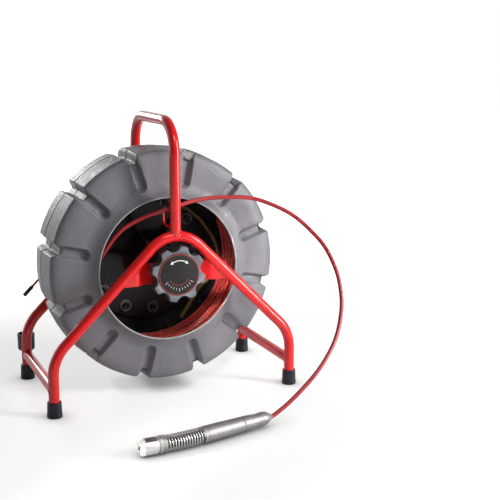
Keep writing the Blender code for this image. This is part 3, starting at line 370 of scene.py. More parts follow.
# A lighter, pinker copy of the cable jacket for the cable in the drum: painted light, and in its pink a
# painted highlight
WOUND_PAINTED_LIGHT = surface("wound_jacket_painted_light", ((0.74, 0.065, 0.050), (0.84, 0.095, 0.075)), (0.2, 0.3), 28.0,
                ("noise", 400.0, 0.00002), Specular_IOR_Level=0.6)
LEAD = surface("lead_jacket", ((0.19, 0.125, 0.030), (0.26, 0.175, 0.046)), (0.34, 0.48), 50.0,
               ("noise", 800.0, 0.0001))
STEEL = surface("plain_steel", ((0.50, 0.50, 0.51), (0.60, 0.60, 0.60)), (0.22, 0.36), 60.0,
                ("noise", 1200.0, 0.00004), Metallic=1.0)
BLACK_STEEL = surface("black_steel", ((0.035, 0.035, 0.038), (0.07, 0.07, 0.072)), (0.24, 0.38), 120.0,
                      ("noise", 1500.0, 0.00004), Metallic=1.0)
BRASS = surface("brass", ((0.58, 0.40, 0.14), (0.68, 0.48, 0.18)), (0.22, 0.34), 80.0,
                ("noise", 1200.0, 0.00003), Metallic=1.0)
POLISHED = surface("polished_steel", ((0.74, 0.73, 0.72), (0.84, 0.83, 0.82)), (0.34, 0.44), 40.0,
                   ("noise", 90.0, 0.00005), stretch=(0.02, 1.0, 1.0), turn=ALONG_HEAD, Metallic=0.85)
BRUSHED = surface("brushed_steel", ((0.24, 0.232, 0.228), (0.40, 0.388, 0.38)), (0.40, 0.54), 150.0,
                  ("noise", 420.0, 0.0002), stretch=(0.25, 1.0, 1.0), turn=ALONG_HEAD, Metallic=0.75)
RIDGED = surface("ridged_steel", ((0.44, 0.43, 0.425), (0.58, 0.57, 0.56)), (0.32, 0.42), 150.0,
                 ("noise", 420.0, 0.00005), turn=ALONG_HEAD, Metallic=0.85)
SPRING = surface("spring_wire", ((0.62, 0.61, 0.60), (0.76, 0.75, 0.74)), (0.2, 0.32), 150.0,
                 ("noise", 1500.0, 0.00003), Metallic=1.0)
# A dark brownish tone for a strip over the top of the camera barrel
BARREL_TOP_STRIP = surface("head_window", ((0.075, 0.062, 0.060), (0.115, 0.097, 0.093)), (0.3, 0.42), 160.0,
                 ("noise", 900.0, 0.00005))
WHITE = surface("head_white", ((0.80, 0.81, 0.77), (0.86, 0.87, 0.83)), (0.3, 0.42), 120.0,
                ("noise", 1600.0, 0.00004))
LIGHT = surface("light_cover", ((0.30, 0.33, 0.24), (0.42, 0.45, 0.34)), (0.12, 0.2), 300.0, Coat_Weight=0.8)
GLASS = surface("lens_glass", ((0.010, 0.012, 0.016), (0.03, 0.032, 0.04)), (0.03, 0.07), 200.0,
                Coat_Weight=1.0, Coat_Roughness=0.03)


# Meshes

# A new piece from points and faces in a given frame, riding on a body and standing for CAD nodes
def piece(name, body, slot, materials, points, faces, place=STAND, nodes=(), kinds=None, sharp=40.0):
    mesh = bpy.data.meshes.new(name)
    mesh.from_pydata([tuple(place @ Vector(point)) for point in points], [], faces)
    for entry in materials if isinstance(materials, list) else [materials]:
        mesh.materials.append(entry)
    if kinds is not None:
        mesh.polygons.foreach_set("material_index", kinds)
    tidy = bmesh.new()
    tidy.from_mesh(mesh)
    bmesh.ops.remove_doubles(tidy, verts=tidy.verts, dist=1e-6)
    bmesh.ops.recalc_face_normals(tidy, faces=tidy.faces)
    tidy.to_mesh(mesh)
    tidy.free()
    mesh.shade_smooth()
    mesh.set_sharp_from_angle(angle=math.radians(sharp))
    made = placed(name, mesh)
    if body:
        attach(made, body)
    if nodes:
        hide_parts(*nodes)
    return made


# Quads of a grid of points, row by row, closed on itself where asked
def grid(rows, columns, wrap_rows=False, wrap_columns=False, start=0):
    faces = []
    for i in range(rows if wrap_rows else rows - 1):
        for j in range(columns if wrap_columns else columns - 1):
            a, b = i * columns, ((i + 1) % rows) * columns
            k = (j + 1) % columns
            faces.append((start + a + j, start + a + k, start + b + k, start + b + j))
    return faces


# Several shapes as one
def joined(*shapes):
    points, faces = [], []
    for more_points, more_faces in shapes:
        start = len(points)
        points.extend(tuple(point) for point in more_points)
        faces.extend(tuple(start + i for i in face) for face in more_faces)
    return points, faces


def moved(shape, place):
    return [tuple(place @ Vector(point)) for point in shape[0]], shape[1]


# Angles at even steps once round
def around(steps):
    return 2 * np.pi * np.arange(steps) / steps


# A point by its radius and angle about the vertical, and about the drum's axis
def about_z(radius, angle, z=0.0):
    return radius * math.cos(angle), radius * math.sin(angle), z


def about_y(radius, angle, y=0.0):
    return radius * math.cos(angle), y, radius * math.sin(angle)


# Rows of vectors, each made one long
def units(rows):
    return rows / np.linalg.norm(rows, axis=1)[:, None]


# A turn that takes the vertical to a direction
def facing_along(direction):
    return direction.to_track_quat("Z", "Y").to_matrix().to_4x4()


# From 0 to 1, slow at both ends
def eased(share):
    return share * share * (3 - 2 * share)


# An outline with each corner rounded; a third number on a point is that corner's own rounding
def soften(outline, rounding, steps=4, closed=False):
    corners = [np.array(point[:2]) for point in outline]
    count = len(corners)
    result = []
    for i, here in enumerate(corners):
        if not closed and i in (0, count - 1):
            result.append(tuple(here))
            continue
        back = corners[i - 1] - here
        ahead = corners[(i + 1) % count] - here
        reach = outline[i][2] if len(outline[i]) > 2 else rounding
        reach = min(reach, 0.45 * np.linalg.norm(back), 0.45 * np.linalg.norm(ahead))
        start = here + back / np.linalg.norm(back) * reach
        end = here + ahead / np.linalg.norm(ahead) * reach
        for k in range(steps + 1):
            t = k / steps
            result.append(tuple((1 - t) ** 2 * start + 2 * t * (1 - t) * here + t ** 2 * end))
    return result


# A turned shape from (radius, height) points; the outline is closed into a loop where it has a bore
def turned(outline, steps, closed=False):
    points = [about_z(r, a, h) for r, h in outline for a in around(steps)]
    return points, grid(len(outline), steps, wrap_rows=closed, wrap_columns=True)


# A round bar along a path, with its ends domed or cut with a small chamfer
def swept(path, radius, sides, ends=CUT_END, closed=False):
    path = np.array([tuple(point) for point in path])
    radii = np.broadcast_to(np.asarray(radius, dtype=float), (len(path),))
    if closed:
        along = np.roll(path, -1, axis=0) - np.roll(path, 1, axis=0)
    else:
        along = np.gradient(path, axis=0)
    along = units(along)
    rings = list(zip(path, along, radii))
    if not closed:
        place, ahead, reach = rings[0]
        head = [(place + ahead * reach * inset, ahead, reach * share) for inset, share in ends]
        place, ahead, reach = rings[-1]
        tail = [(place - ahead * reach * inset, ahead, reach * share) for inset, share in reversed(ends)]
        rings = head + rings[1:-1] + tail
    side = np.cross(along[0], (0.0, 0.0, 1.0))
    if np.linalg.norm(side) < 0.1:
        side = np.cross(along[0], (0.0, 1.0, 0.0))
    points = []
    for place, ahead, reach in rings:
        side = side - ahead * np.dot(side, ahead)
        side /= np.linalg.norm(side)
        over = np.cross(ahead, side)
        points.extend(tuple(place + reach * (math.cos(a) * side + math.sin(a) * over)) for a in around(sides))
    faces = grid(len(rings), sides, wrap_rows=closed, wrap_columns=True)
    if not closed:
        faces.append(tuple(range(sides)))
        faces.append(tuple(range(len(points) - sides, len(points))))
    return points, faces


# Straight runs between corners, with a round bend at each inner corner
def bent_path(corners, bends, steps, run=1):
    corners = [Vector(corner) for corner in corners]
    points = [corners[0]]
    for before, corner, after, bend in zip(corners, corners[1:], corners[2:], bends):
        back = (before - corner).normalized()
        ahead = (after - corner).normalized()
        half = back.angle(ahead) / 2
        centre = corner + (back + ahead).normalized() * bend / math.sin(half)
        start = corner + back * bend / math.tan(half) - centre
        last = points[-1]
        points.extend(last.lerp(centre + start, i / run) for i in range(1, run))
        sweep = math.pi - 2 * half
        for i in range(steps + 1):
            points.append(centre + Matrix.Rotation(-sweep * i / steps, 3, back.cross(ahead)) @ start)
    last = points[-1]
    points.extend(last.lerp(corners[-1], i / run) for i in range(1, run + 1))
    return points


# Evenly spaced points on a smooth curve through the given ones
def smooth_path(route, count):
    route = np.array([tuple(point) for point in route])
    padded = np.vstack([2 * route[0] - route[1], route, 2 * route[-1] - route[-2]])
    t = np.linspace(0.0, 1.0, 24, endpoint=False)[:, None]
    fine = []
    for p0, p1, p2, p3 in zip(padded, padded[1:], padded[2:], padded[3:]):
        fine.append(0.5 * (2 * p1 + (p2 - p0) * t + (2 * p0 - 5 * p1 + 4 * p2 - p3) * t ** 2
                           + (3 * p1 - p0 - 3 * p2 + p3) * t ** 3))
    fine = np.vstack([*fine, route[-1]])
    lengths = np.concatenate([[0.0], np.cumsum(np.linalg.norm(np.diff(fine, axis=0), axis=1))])
    want = np.linspace(0.0, lengths[-1], count)
    return np.stack([np.interp(want, lengths, fine[:, k]) for k in range(3)], axis=1)


# A weld bead along a line: a thin bar whose width ripples
def bead(path, radius, closed=True):
    ripple = radius * (1.0 + 0.14 * np.sin(np.arange(len(path)) * 2.1))
    return swept(path, ripple, 10, DOMED_END, closed)


# A bead round the foot of a wire that stands on a tube and points away from its centre line
def wire_weld(centre, away):
    ring = [about_z(1.2 * WIRE_RADIUS, a) for a in around(20)]
    seat = Matrix.Translation(centre + away * (TUBE_RADIUS + 0.0004)) @ facing_along(away)
    return moved(bead(ring, 0.0013), seat)


# A swept bar as a piece that stands for one node
def bar(name, body, slot, material, node, path, radius, sides, ends=CUT_END, **options):
    return piece(name, body, slot, material, *swept(path, radius, sides, ends), nodes=[node], **options)


def red_bar(name, node, path, radius, sides):
    return bar(name, "frame", "red_paint", RED, node, path, radius, sides)


def welds(name, beads):
    piece(name, "frame", "red_paint", WELD, *joined(*beads), sharp=60)


# A turned piece that stands for one node
def lathe(name, body, slot, material, node, outline, rounding, steps, place, bored=False):
    shape = turned(soften(outline, rounding, closed=bored), steps, bored)
    return piece(name, body, slot, material, *shape, place=place, nodes=[node])


# Free cable and the camera head

# A place on the head's line and the direction there, by the distance from its tail
def head_station(distance):
    straight = FERRULE_LENGTH + SLEEVE_LENGTH
    towards = Vector((-math.cos(HEAD_HEADING), -math.sin(HEAD_HEADING), 0.0))
    if distance <= straight:
        return HEAD_TAIL + towards * distance, towards
    place = HEAD_TAIL + towards * straight
    bend_radius = SPRING_LENGTH / HEAD_BEND
    turn = min((distance - straight) / SPRING_LENGTH, 1.0) * HEAD_BEND
    side = Vector((-math.sin(HEAD_HEADING), math.cos(HEAD_HEADING), 0.0))
    place = place + towards * bend_radius * math.sin(turn) + side * bend_radius * (1 - math.cos(turn))
    towards = Matrix.Rotation(-turn, 3, "Z") @ towards
    return place + towards * max(0.0, distance - straight - SPRING_LENGTH), towards


def on_head(distance):
    place, towards = head_station(distance)
    return STAND @ Matrix.Translation(place) @ facing_along(towards)


# The cable runs a little way into its ferrule, straight along it
def build_free_cable(ferrule):
    tail, towards = head_station(0.004)
    path = smooth_path([*CABLE_ROUTE, tail - towards * 0.014, tail], 190)
    cable = bar("push_cable", "frame", "cable_jacket", JACKET, "push_cable_free", path, CABLE_RADIUS, 18)


def build_head_tail():
    end = FERRULE_LENGTH - GAP
    outline = [(0.0, 0.0), (0.0062, 0.0), (0.0078, 0.0, 0.001), (0.0096, 0.0035, 0.001),
               (0.0136, 0.010, 0.004), (0.0162, 0.020, 0.007), (0.0150, 0.036, 0.009), (0.0152, 0.044, 0.006),
               (0.0171, end - 0.018, 0.008), (0.0172, end - 0.001), (0.0166, end, 0.0005), (0.0, end)]
    ferrule = lathe("cable_ferrule", "frame", "polished_steel", BRUSHED, "tail_ferrule", outline, 0.0012,
                    HEAD_STEPS, on_head(0.0))
    end = SLEEVE_LENGTH - GAP
    outline = [(0.0, 0.0), (0.0167, 0.0), (0.0173, 0.0008), (0.0176, 0.020, 0.010),
               (SLEEVE_RADIUS, 0.078, 0.010), (SLEEVE_RADIUS, end - 0.009), (0.0182, end - 0.0082, 0.0003),
               (0.0182, end - 0.0066, 0.0003), (SLEEVE_RADIUS, end - 0.006), (SLEEVE_RADIUS, end - 0.0012),
               (0.0177, end, 0.0006), (0.0, end)]
    lathe("polished_sleeve", "frame", "polished_steel", BRUSHED, "spring_sleeve", outline, 0.0006, HEAD_STEPS,
          on_head(FERRULE_LENGTH))
    return ferrule


# The spring, and the ribbed core inside it, bend between the sleeve and the head
def build_head_spring():
    start = FERRULE_LENGTH + SLEEVE_LENGTH
    coil = SLEEVE_RADIUS - SPRING_WIRE
    count = round(SPRING_TURNS * SPRING_SIDES)
    path = []
    for i in range(count + 1):
        place, towards = head_station(start + SPRING_WIRE + (SPRING_LENGTH - 2 * SPRING_WIRE) * i / count)
        side = Vector((-towards.y, towards.x, 0.0))
        angle = 2 * math.pi * i / SPRING_SIDES
        path.append(place + side * coil * math.cos(angle) + Vector((0.0, 0.0, coil * math.sin(angle))))
    spring = bar("flex_spring", None, "polished_steel", SPRING, "head_spring", path, SPRING_WIRE, 10,
                 DOMED_END)
    steps, per_rib, inset = 150, 5, 0.0004
    line = []
    for i in range(steps + 1):
        line.append(head_station(start + inset + (SPRING_LENGTH - 2 * inset) * i / steps)[0])
    ribs = FLEX_RADIUS + FLEX_RIPPLE * np.cos(np.arange(steps + 1) * 2 * math.pi / per_rib)
    core = bar("flex_core", None, "black_plastic", RUBBER, "head_flex_core", line, ribs, 24, sharp=60)
    for soft in (spring, core):
        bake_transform(soft)


def build_camera_head():
    start = FERRULE_LENGTH + SLEEVE_LENGTH + SPRING_LENGTH
    end = COLLAR_LENGTH - GAP
    ridge, valley = COLLAR_RADIUS - 0.0001, COLLAR_RADIUS - 0.0028
    outline = [(0.0, 0.0), (0.0165, 0.0, 0.0004)]
    for low, high in ((0.0008, 0.0038), (0.0056, 0.0086), (0.0104, end - 0.0004)):
        outline += [(valley, low, 0.0004), (ridge, low + 0.0005, 0.0009), (ridge, high - 0.0005, 0.0009),
                    (valley, high, 0.0004)]
    outline.append((0.0, end))
    lathe("head_ring", "camera_head", "polished_steel", RIDGED, "head_collar", outline, 0.0005, HEAD_STEPS,
          on_head(start))
    end = BODY_LENGTH - GAP
    outline = [(0.0, 0.0), (0.0164, 0.0, 0.0003), (0.0164, 0.0018, 0.0003), (HEAD_RADIUS, 0.0026),
               (HEAD_RADIUS, end - 0.0016), (0.0180, end, 0.0008), (0.0, end)]
    barrel = on_head(start + COLLAR_LENGTH)
    lathe("camera_barrel", "camera_head", "polished_steel", POLISHED, "camera_body", outline, 0.0006,
          HEAD_STEPS, barrel)
    build_barrel_top_strip(barrel)
    build_head_face(on_head(start + COLLAR_LENGTH + BODY_LENGTH))


# A dark strip let into the top of the barrel
def build_barrel_top_strip(place):
    low, high = 0.0030, BODY_LENGTH - 0.0025
    inner, outer = HEAD_RADIUS - 0.001, HEAD_RADIUS + 0.0002
    ring = [(inner, low), (outer, low + 0.0004), (outer, high - 0.0004), (inner, high)]
    steps = 24
    points = []
    for a in np.radians(np.linspace(50.0, 116.0, steps)):
        points.extend(about_z(r, a, h) for r, h in ring)
    last = len(points) - len(ring)
    faces = grid(steps, len(ring), wrap_columns=True) + [(0, 1, 2, 3), tuple(last + k for k in range(4))]
    piece("head_window", "camera_head", "black_plastic", BARREL_TOP_STRIP, points, faces, place=place)


# The white ring at the front, the cover over the lights, the lights' domes and the lens
def build_head_face(place):
    floor = 0.0068
    seat = floor + 0.0001
    outline = [(0.0, 0.0), (0.0180, 0.0, 0.0003), (0.0185, 0.0006), (0.0185, 0.0030, 0.0026),
               (0.0168, 0.0070, 0.0036), (0.0143, 0.0085, 0.0006), (0.0143, floor, 0.0002), (0.0, floor)]
    lathe("face_ring", "camera_head", "head_white", WHITE, "face_bezel", outline, 0.0005, HEAD_STEPS, place)
    outline = [(0.0058, seat), (0.0058, 0.0091, 0.0003), (0.0078, 0.0091, 0.002), (0.0112, 0.0087, 0.003),
               (0.0141, 0.0081, 0.0003), (0.0141, seat)]
    lathe("light_cover", "camera_head", "head_white", WHITE, "light_ring", outline, 0.0005, 48, place, True)
    outline = [(0.0, 0.0), (0.0021, 0.0), (0.0021, 0.0006, 0.0005), (0.0014, 0.0010, 0.0006), (0.0, 0.0011)]
    dome = turned(soften(outline, 0.0003), 20)
    count, circle, height = 6, 0.0104, 0.0084
    lights = []
    for i in range(count):
        spot = about_z(circle, 2 * math.pi * (i + 0.5) / count, height)
        lights.append(moved(dome, Matrix.Translation(spot)))
    piece("led_domes", "camera_head", "head_white", LIGHT, *joined(*lights), place=place)
    outline = [(0.0, seat), (0.0056, seat), (0.0056, 0.0089), (0.0050, 0.0093, 0.0003),
               (0.0042, 0.0086, 0.0004), (0.0034, 0.0090, 0.0010), (0.0, 0.0095)]
    lathe("lens_dome", "camera_head", "lens_glass", GLASS, "lens_window", outline, 0.0004, 40, place)


# Stand

SIDES = (("left", -1), ("right", 1))
DEPTHS = (("front", -1), ("rear", 1))


def build_stand():
    for depth, facing in DEPTHS:
        y = facing * TUBE_Y
        corners = [(-LEG_X, y, LEG_END_Z), (-LEG_X, y, KNEE_Z), (0.0, y, ARCH_CORNER_Z), (LEG_X, y, KNEE_Z),
                   (LEG_X, y, LEG_END_Z)]
        path = bent_path(corners, [KNEE_BEND, ARCH_BEND, KNEE_BEND], 22, 4)
        red_bar(f"{depth}_bent_tube", f"{depth}_frame_tube", path, TUBE_RADIUS, TUBE_SIDES)
    low = ARCH_APEX_Z + 0.003
    corners = [(0.0, y, z) for y, z in ((-TUBE_Y, low), (-TUBE_Y, HANDLE_TOP_Z), (TUBE_Y, HANDLE_TOP_Z),
                                        (TUBE_Y, low))]
    path = bent_path(corners, [HANDLE_BEND] * 2, 22, 4)
    red_bar("carry_handle", "handle_tube", path, TUBE_RADIUS, TUBE_SIDES)
    for side, sign in SIDES:
        path = [(sign * LEG_X, TUBE_Y * i / 4, RAIL_Z) for i in range(-4, 5)]
        red_bar(f"{side}_cross_rail", f"{side}_side_rail", path, TUBE_RADIUS - 0.0002, TUBE_SIDES)
    build_welds()
    build_feet()
    for depth, facing in DEPTHS:
        build_strap(depth, facing)
    build_guide()
    build_holster()
    for side, sign in SIDES:
        build_hook(side, sign)


# Beads where the tubes meet: round the handle's feet and the rails' ends
def build_welds():
    beads = []
    lift = 0.0006
    for facing in (-1, 1):
        loop = []
        for a in around(40):
            x, y = 1.03 * TUBE_RADIUS * math.cos(a), TUBE_RADIUS * math.sin(a)
            reach = ARCH_BEND + math.sqrt(max(TUBE_RADIUS ** 2 - y ** 2, 0.0))
            z = ARCH_APEX_Z - ARCH_BEND + math.sqrt(reach ** 2 - x ** 2) + lift
            loop.append((x, facing * TUBE_Y + 1.02 * y, z))
        beads.append(bead(loop, 0.0022))
        for sign in (-1, 1):
            loop = []
            for a in around(40):
                x, z = TUBE_RADIUS * math.cos(a), TUBE_RADIUS * math.sin(a)
                y = math.sqrt(max(TUBE_RADIUS ** 2 - x ** 2, 0.0)) + lift
                loop.append((sign * LEG_X + 0.98 * x, facing * (TUBE_Y - y), RAIL_Z + 1.02 * z))
            beads.append(bead(loop, 0.0014))
    welds("tube_welds", beads)


# A rubber cup on each leg, with its socket and a hollow sole
def build_feet():
    outline = [(0.0, 0.0105), (0.0131, 0.0105), (0.0131, FOOT_HEIGHT - 0.001), (0.0138, FOOT_HEIGHT, 0.0008),
               (0.0165, FOOT_HEIGHT, 0.0012), (0.0168, 0.030), (0.0175, 0.0095), (0.0180, 0.0080),
               (0.0180, 0.0015, 0.0016), (0.0166, 0.0, 0.0014), (0.0125, 0.0, 0.0008),
               (0.0115, 0.0012, 0.0008), (0.0, 0.0012)]
    for depth, facing in DEPTHS:
        for side, sign in SIDES:
            place = STAND @ Matrix.Translation((sign * LEG_X, facing * TUBE_Y, 0.0))
            lathe(f"{depth}_{side}_cup", "frame", "foot_rubber", RUBBER, f"{depth}_{side}_foot", outline,
                  0.0009, 48, place)


# A dished strip between the diagonals, welded along both slanted ends
def build_strap(depth, facing):
    columns, rows = 61, 9
    half = PLATE_HEIGHT / 2

    def at(x, z, level):
        share = (PLATE_DISH_OUTER - abs(x)) / (PLATE_DISH_OUTER - PLATE_DISH_INNER)
        dish = PLATE_DISH * eased(min(max(share, 0.0), 1.0))
        return x, facing * (TUBE_Y - dish + level), HUB_Z + z

    def reach(z):
        return ARCH_CORNER_Z - HUB_Z - z - (TUBE_RADIUS - 0.001) / math.sin(math.pi / 4)

    points = []
    for level in (PLATE_THICKNESS / 2, -PLATE_THICKNESS / 2):
        for i in range(rows):
            z = -half + PLATE_HEIGHT * i / (rows - 1)
            points.extend(at(reach(z) * (2 * j / (columns - 1) - 1), z, level) for j in range(columns))
    layer = rows * columns
    faces = grid(rows, columns) + grid(rows, columns, start=layer)
    border = list(range(columns)) + [i * columns + columns - 1 for i in range(1, rows)]
    border += [layer - 1 - j for j in range(1, columns)] + [i * columns for i in range(rows - 2, 0, -1)]
    for a, b in zip(border, border[1:] + border[:1]):
        faces.append((a, b, b + layer, a + layer))
    strap = piece(f"{depth}_hub_strap", "frame", "red_paint", RED, points, faces,
                  nodes=[f"{depth}_hub_plate"])
    edge = strap.modifiers.new("rounded", "BEVEL")
    edge.width = 0.0012
    edge.segments = 3
    edge.angle_limit = math.radians(50)
    beads = []
    for sign in (-1, 1):
        for level in (0.5, -0.5):
            line = []
            for share in np.linspace(-1.0, 1.0, 25):
                z = (half - 0.003) * share
                line.append(at(sign * (reach(z) - 0.0012), z, level * (PLATE_THICKNESS + 0.001)))
            beads.append(bead(line, 0.0019, closed=False))
    welds(f"{depth}_strap_welds", beads)


# A wire hoop behind the front upright, with a sleeve over its top corner for the cable to lie on
def build_guide():
    away = Vector((-math.sin(HOOP_TURN), math.cos(HOOP_TURN), 0.0))
    upright = Vector((0.0, -TUBE_Y, 0.0))
    near = upright + away * (TUBE_RADIUS - 0.0008)
    far = upright + away * HOOP_REACH
    low = Vector((0.0, 0.0, HOOP_BOTTOM_Z))
    high = Vector((0.0, 0.0, HOOP_TOP_Z))
    path = bent_path([near + low, far + low, far + high, near + high], [WIRE_BEND] * 2, 12, 4)
    red_bar("guide_wire", "cable_guide_hoop", path, WIRE_RADIUS, 18)
    corner = far + high
    path = bent_path([corner - Vector((0.0, 0.0, GRIP_DROP)), corner, corner - away * GRIP_LENGTH],
                     [WIRE_BEND], 12, 5)
    bar("guide_grip", "frame", "black_plastic", VINYL, "guide_sleeve", path, GRIP_RADIUS, 20)
    welds("guide_welds", [wire_weld(upright + level, away) for level in (low, high)])


def build_holster():
    low, high = HOLSTER_LOW, HOLSTER_HIGH
    outline = [(0.0, low + 0.004), (0.0186, low + 0.004, 0.002), (0.0188, high - 0.004),
               (0.0192, high, 0.0012), (0.0225, high, 0.0014), (0.0225, high - 0.005, 0.0006),
               (0.0219, high - 0.0056, 0.0004), (0.0217, low + 0.004, 0.004), (0.0180, low, 0.003),
               (0.0, low)]
    lathe("plug_cup", "frame", "black_plastic", BLACK, "plug_holster", outline, 0.001, 56,
          STAND @ Matrix.Translation((*HOLSTER_PLACE, 0.0)))


# A wire hook on a rear diagonal, out and back from the tube and then down along it, with a vinyl tip
def build_hook(side, sign):
    slope = math.pi / 4
    foot = Vector((sign * HOOK_FOOT_X, TUBE_Y, ARCH_CORNER_Z - HOOK_FOOT_X))
    out = Vector((sign * math.sin(slope), 0.0, math.cos(slope)))
    down = Vector((sign * math.cos(slope), 0.0, -math.sin(slope)))
    stand_off = out * HOOK_OUT + Vector((0.0, HOOK_BACK, 0.0))
    away = stand_off.normalized()
    corner = foot + stand_off
    tip = corner + down * HOOK_LENGTH
    path = bent_path([foot + away * (TUBE_RADIUS - 0.0008), corner, tip], [WIRE_BEND], 12, 5)
    red_bar(f"{side}_hook_wire", f"{side}_cord_hook", path, WIRE_RADIUS, 18)
    outline = [(0.0031, -0.030), (0.0046, -0.030, 0.0008), (0.0050, -0.028), (0.0050, -0.001),
               (0.0042, 0.0012, 0.0015), (0.0, 0.0020)]
    lathe(f"{side}_hook_tip", "frame", "black_vinyl", VINYL, f"{side}_hook_cap", outline, 0.0006, 28,
          STAND @ Matrix.Translation(tip) @ facing_along(down))
    welds(f"{side}_hook_weld", [wire_weld(foot, away)])


# Drum

# A line in to a corner and on from it, rounded from one reach before the corner to another beyond it
def filleted(start, corner, end, reach_back, reach_on):
    before, across, after = 12, 14, 44
    start, corner, end = (np.array(point) for point in (start, corner, end))
    first = corner + (start - corner) / np.linalg.norm(start - corner) * reach_back
    last = corner + (end - corner) / np.linalg.norm(end - corner) * reach_on
    curve = []
    for t in np.linspace(0.0, 1.0, across):
        curve.append((1 - t) ** 2 * first + 2 * t * (1 - t) * corner + t ** 2 * last)
    lead = [start + (first - start) * k / before for k in range(before)]
    run = [last + (end - last) * k / after for k in range(1, after + 1)]
    return np.array(lead + curve + run)


# The inside of a line of (radius, height) points: one wall below it, back from its end by every other point
def inside_line(line, rim):
    along = units(np.gradient(line, axis=0))
    inside = line + np.stack([-along[:, 1], along[:, 0]], axis=1) * DRUM_WALL
    inside = inside[len(line) - 1 - np.arange(3, len(line), 2)]
    inside[-1] = (rim - DRUM_WALL, SEAM_GAP)
    return inside


# How deep the face's trough is at a point: flat along the middle, with steep walls and round ends
def groove_drop(radius, across):
    beyond = np.maximum(np.maximum(GROOVE_TO - radius, radius - GROOVE_FROM), 0.0)
    share = np.clip((GROOVE_HALF - np.hypot(across, beyond)) / GROOVE_WALL, 0.0, 1.0)
    return GROOVE_DEPTH * eased(share)


# The outer lines of a half shell over a land and over a notch, from the mid plane in to the face's end
def shell_lines(face_end, slope, flared):
    corner = DRUM_RADIUS - RIM_DRAFT * CORNER_Y / RIM_DEPTH

    def face(radius):
        return radius, FACE_Y + (FACE_RADIUS - radius) * slope

    lines = []
    for drop, reach_back, reach_on in ((0.0, 0.014, 0.034), (NOTCH_DEPTH, 0.006, 0.009)):
        start = (DRUM_RADIUS - drop, SEAM_Y)
        line = filleted(start, face(corner - drop), face(face_end), reach_back, reach_on)
        if flared:
            share = np.clip((FLARE_RADIUS - line[:, 0]) / (FLARE_RADIUS - face_end), 0.0, 1.0)
            line[:, 1] += FLARE_RISE * share ** 2
        seam = [(-0.0042, SEAM_GAP), (-0.0042, 0.0021), (-0.0009, 0.0023), (-0.0002, 0.0029)]
        lines.append(np.vstack([[(line[0][0] + inset, y) for inset, y in seam], line]))
    return lines


# A half shell: plain lands, drawn in at the rim to a notch line, with a trough in the face below each notch
def build_shell(name, node, facing, face_end, slope, lip, flared):
    land, notch = shell_lines(face_end, slope, flared)
    if flared:
        lip = [(land[-1][0] + r, land[-1][1] + y) for r, y in lip]
    lands = np.vstack([land, lip, inside_line(land, DRUM_RADIUS)])
    notches = np.vstack([notch, lip, inside_line(notch, DRUM_RADIUS - NOTCH_DEPTH)])
    sector = 2 * math.pi / NOTCH_COUNT
    near = np.radians(np.linspace(-5.0, 5.0, 33))
    far = np.radians(np.linspace(5.0, 25.0, 11))[1:-1]
    offsets = np.concatenate([near, far])
    angles = np.concatenate([k * sector + NOTCH_PHASE + offsets for k in range(NOTCH_COUNT)])
    aside = np.tile(np.where(offsets > sector / 2, offsets - sector, offsets), NOTCH_COUNT)
    share = (NOTCH_MOUTH - np.abs(aside) * DRUM_RADIUS) / (NOTCH_MOUTH - NOTCH_FLOOR)
    share = eased(np.clip(share, 0.0, 1.0))
    points = []
    for (land_r, land_y), (notch_r, notch_y) in zip(lands, notches):
        r = land_r + (notch_r - land_r) * share
        y = land_y + (notch_y - land_y) * share
        if land_y > RIM_DEPTH - DRUM_WALL:
            y = y - groove_drop(r, np.abs(np.sin(aside)) * r)
        points.extend(zip(r * np.cos(angles), facing * y, r * np.sin(angles)))
    rows, columns = len(lands), len(angles)
    # Rows by material: the outside, the inner faces in near-black painted shade, and the lip
    outside, inside, lit_lip = 0, 1, 2
    kind = np.full(rows, inside)
    kind[2:len(land) + 4] = outside
    # On the front half, the face's end and the rolled lip take the lighter material: a painted highlight
    # along the mouth
    if flared:
        kind[len(land) - 1:len(land) + 4] = lit_lip
    piece(name, "drum", "drum_shell", [SHELL, INSIDE_SHADE, LIP_HIGHLIGHT], points,
          grid(rows, columns, wrap_rows=True, wrap_columns=True), place=HUB, nodes=[node],
          kinds=np.repeat(kind, columns).tolist(), sharp=50)


# The front half flares out to a rolled lip; the rear half has a flat back with a bore for the hub
def build_shells():
    slope = (LIP_Y - FLARE_RISE - FACE_Y) / (FACE_RADIUS - LIP_RADIUS)
    lip = [(-0.0014, 0.0002), (-0.0024, -0.0003), (-0.0030, -0.0014), (-0.0030, -0.0034), (-0.0024, -0.0046),
           (-0.0012, -0.0051)]
    build_shell("front_shell", "drum_front_half", -1, LIP_RADIUS, slope, lip, True)
    slope = (BACK_Y - FACE_Y) / (FACE_RADIUS - BACK_FLAT_RADIUS)
    bore, under = HUB_RADIUS + GAP, BACK_Y - DRUM_WALL
    radii = (BACK_FLAT_RADIUS - 0.004, 0.100, bore + 0.001)
    lip = [(radius, BACK_Y) for radius in radii] + [(bore, BACK_Y - 0.001), (bore, under + 0.001)]
    lip += [(radius, under) for radius in reversed(radii)]
    build_shell("rear_shell", "drum_rear_half", 1, BACK_FLAT_RADIUS, slope, lip, False)


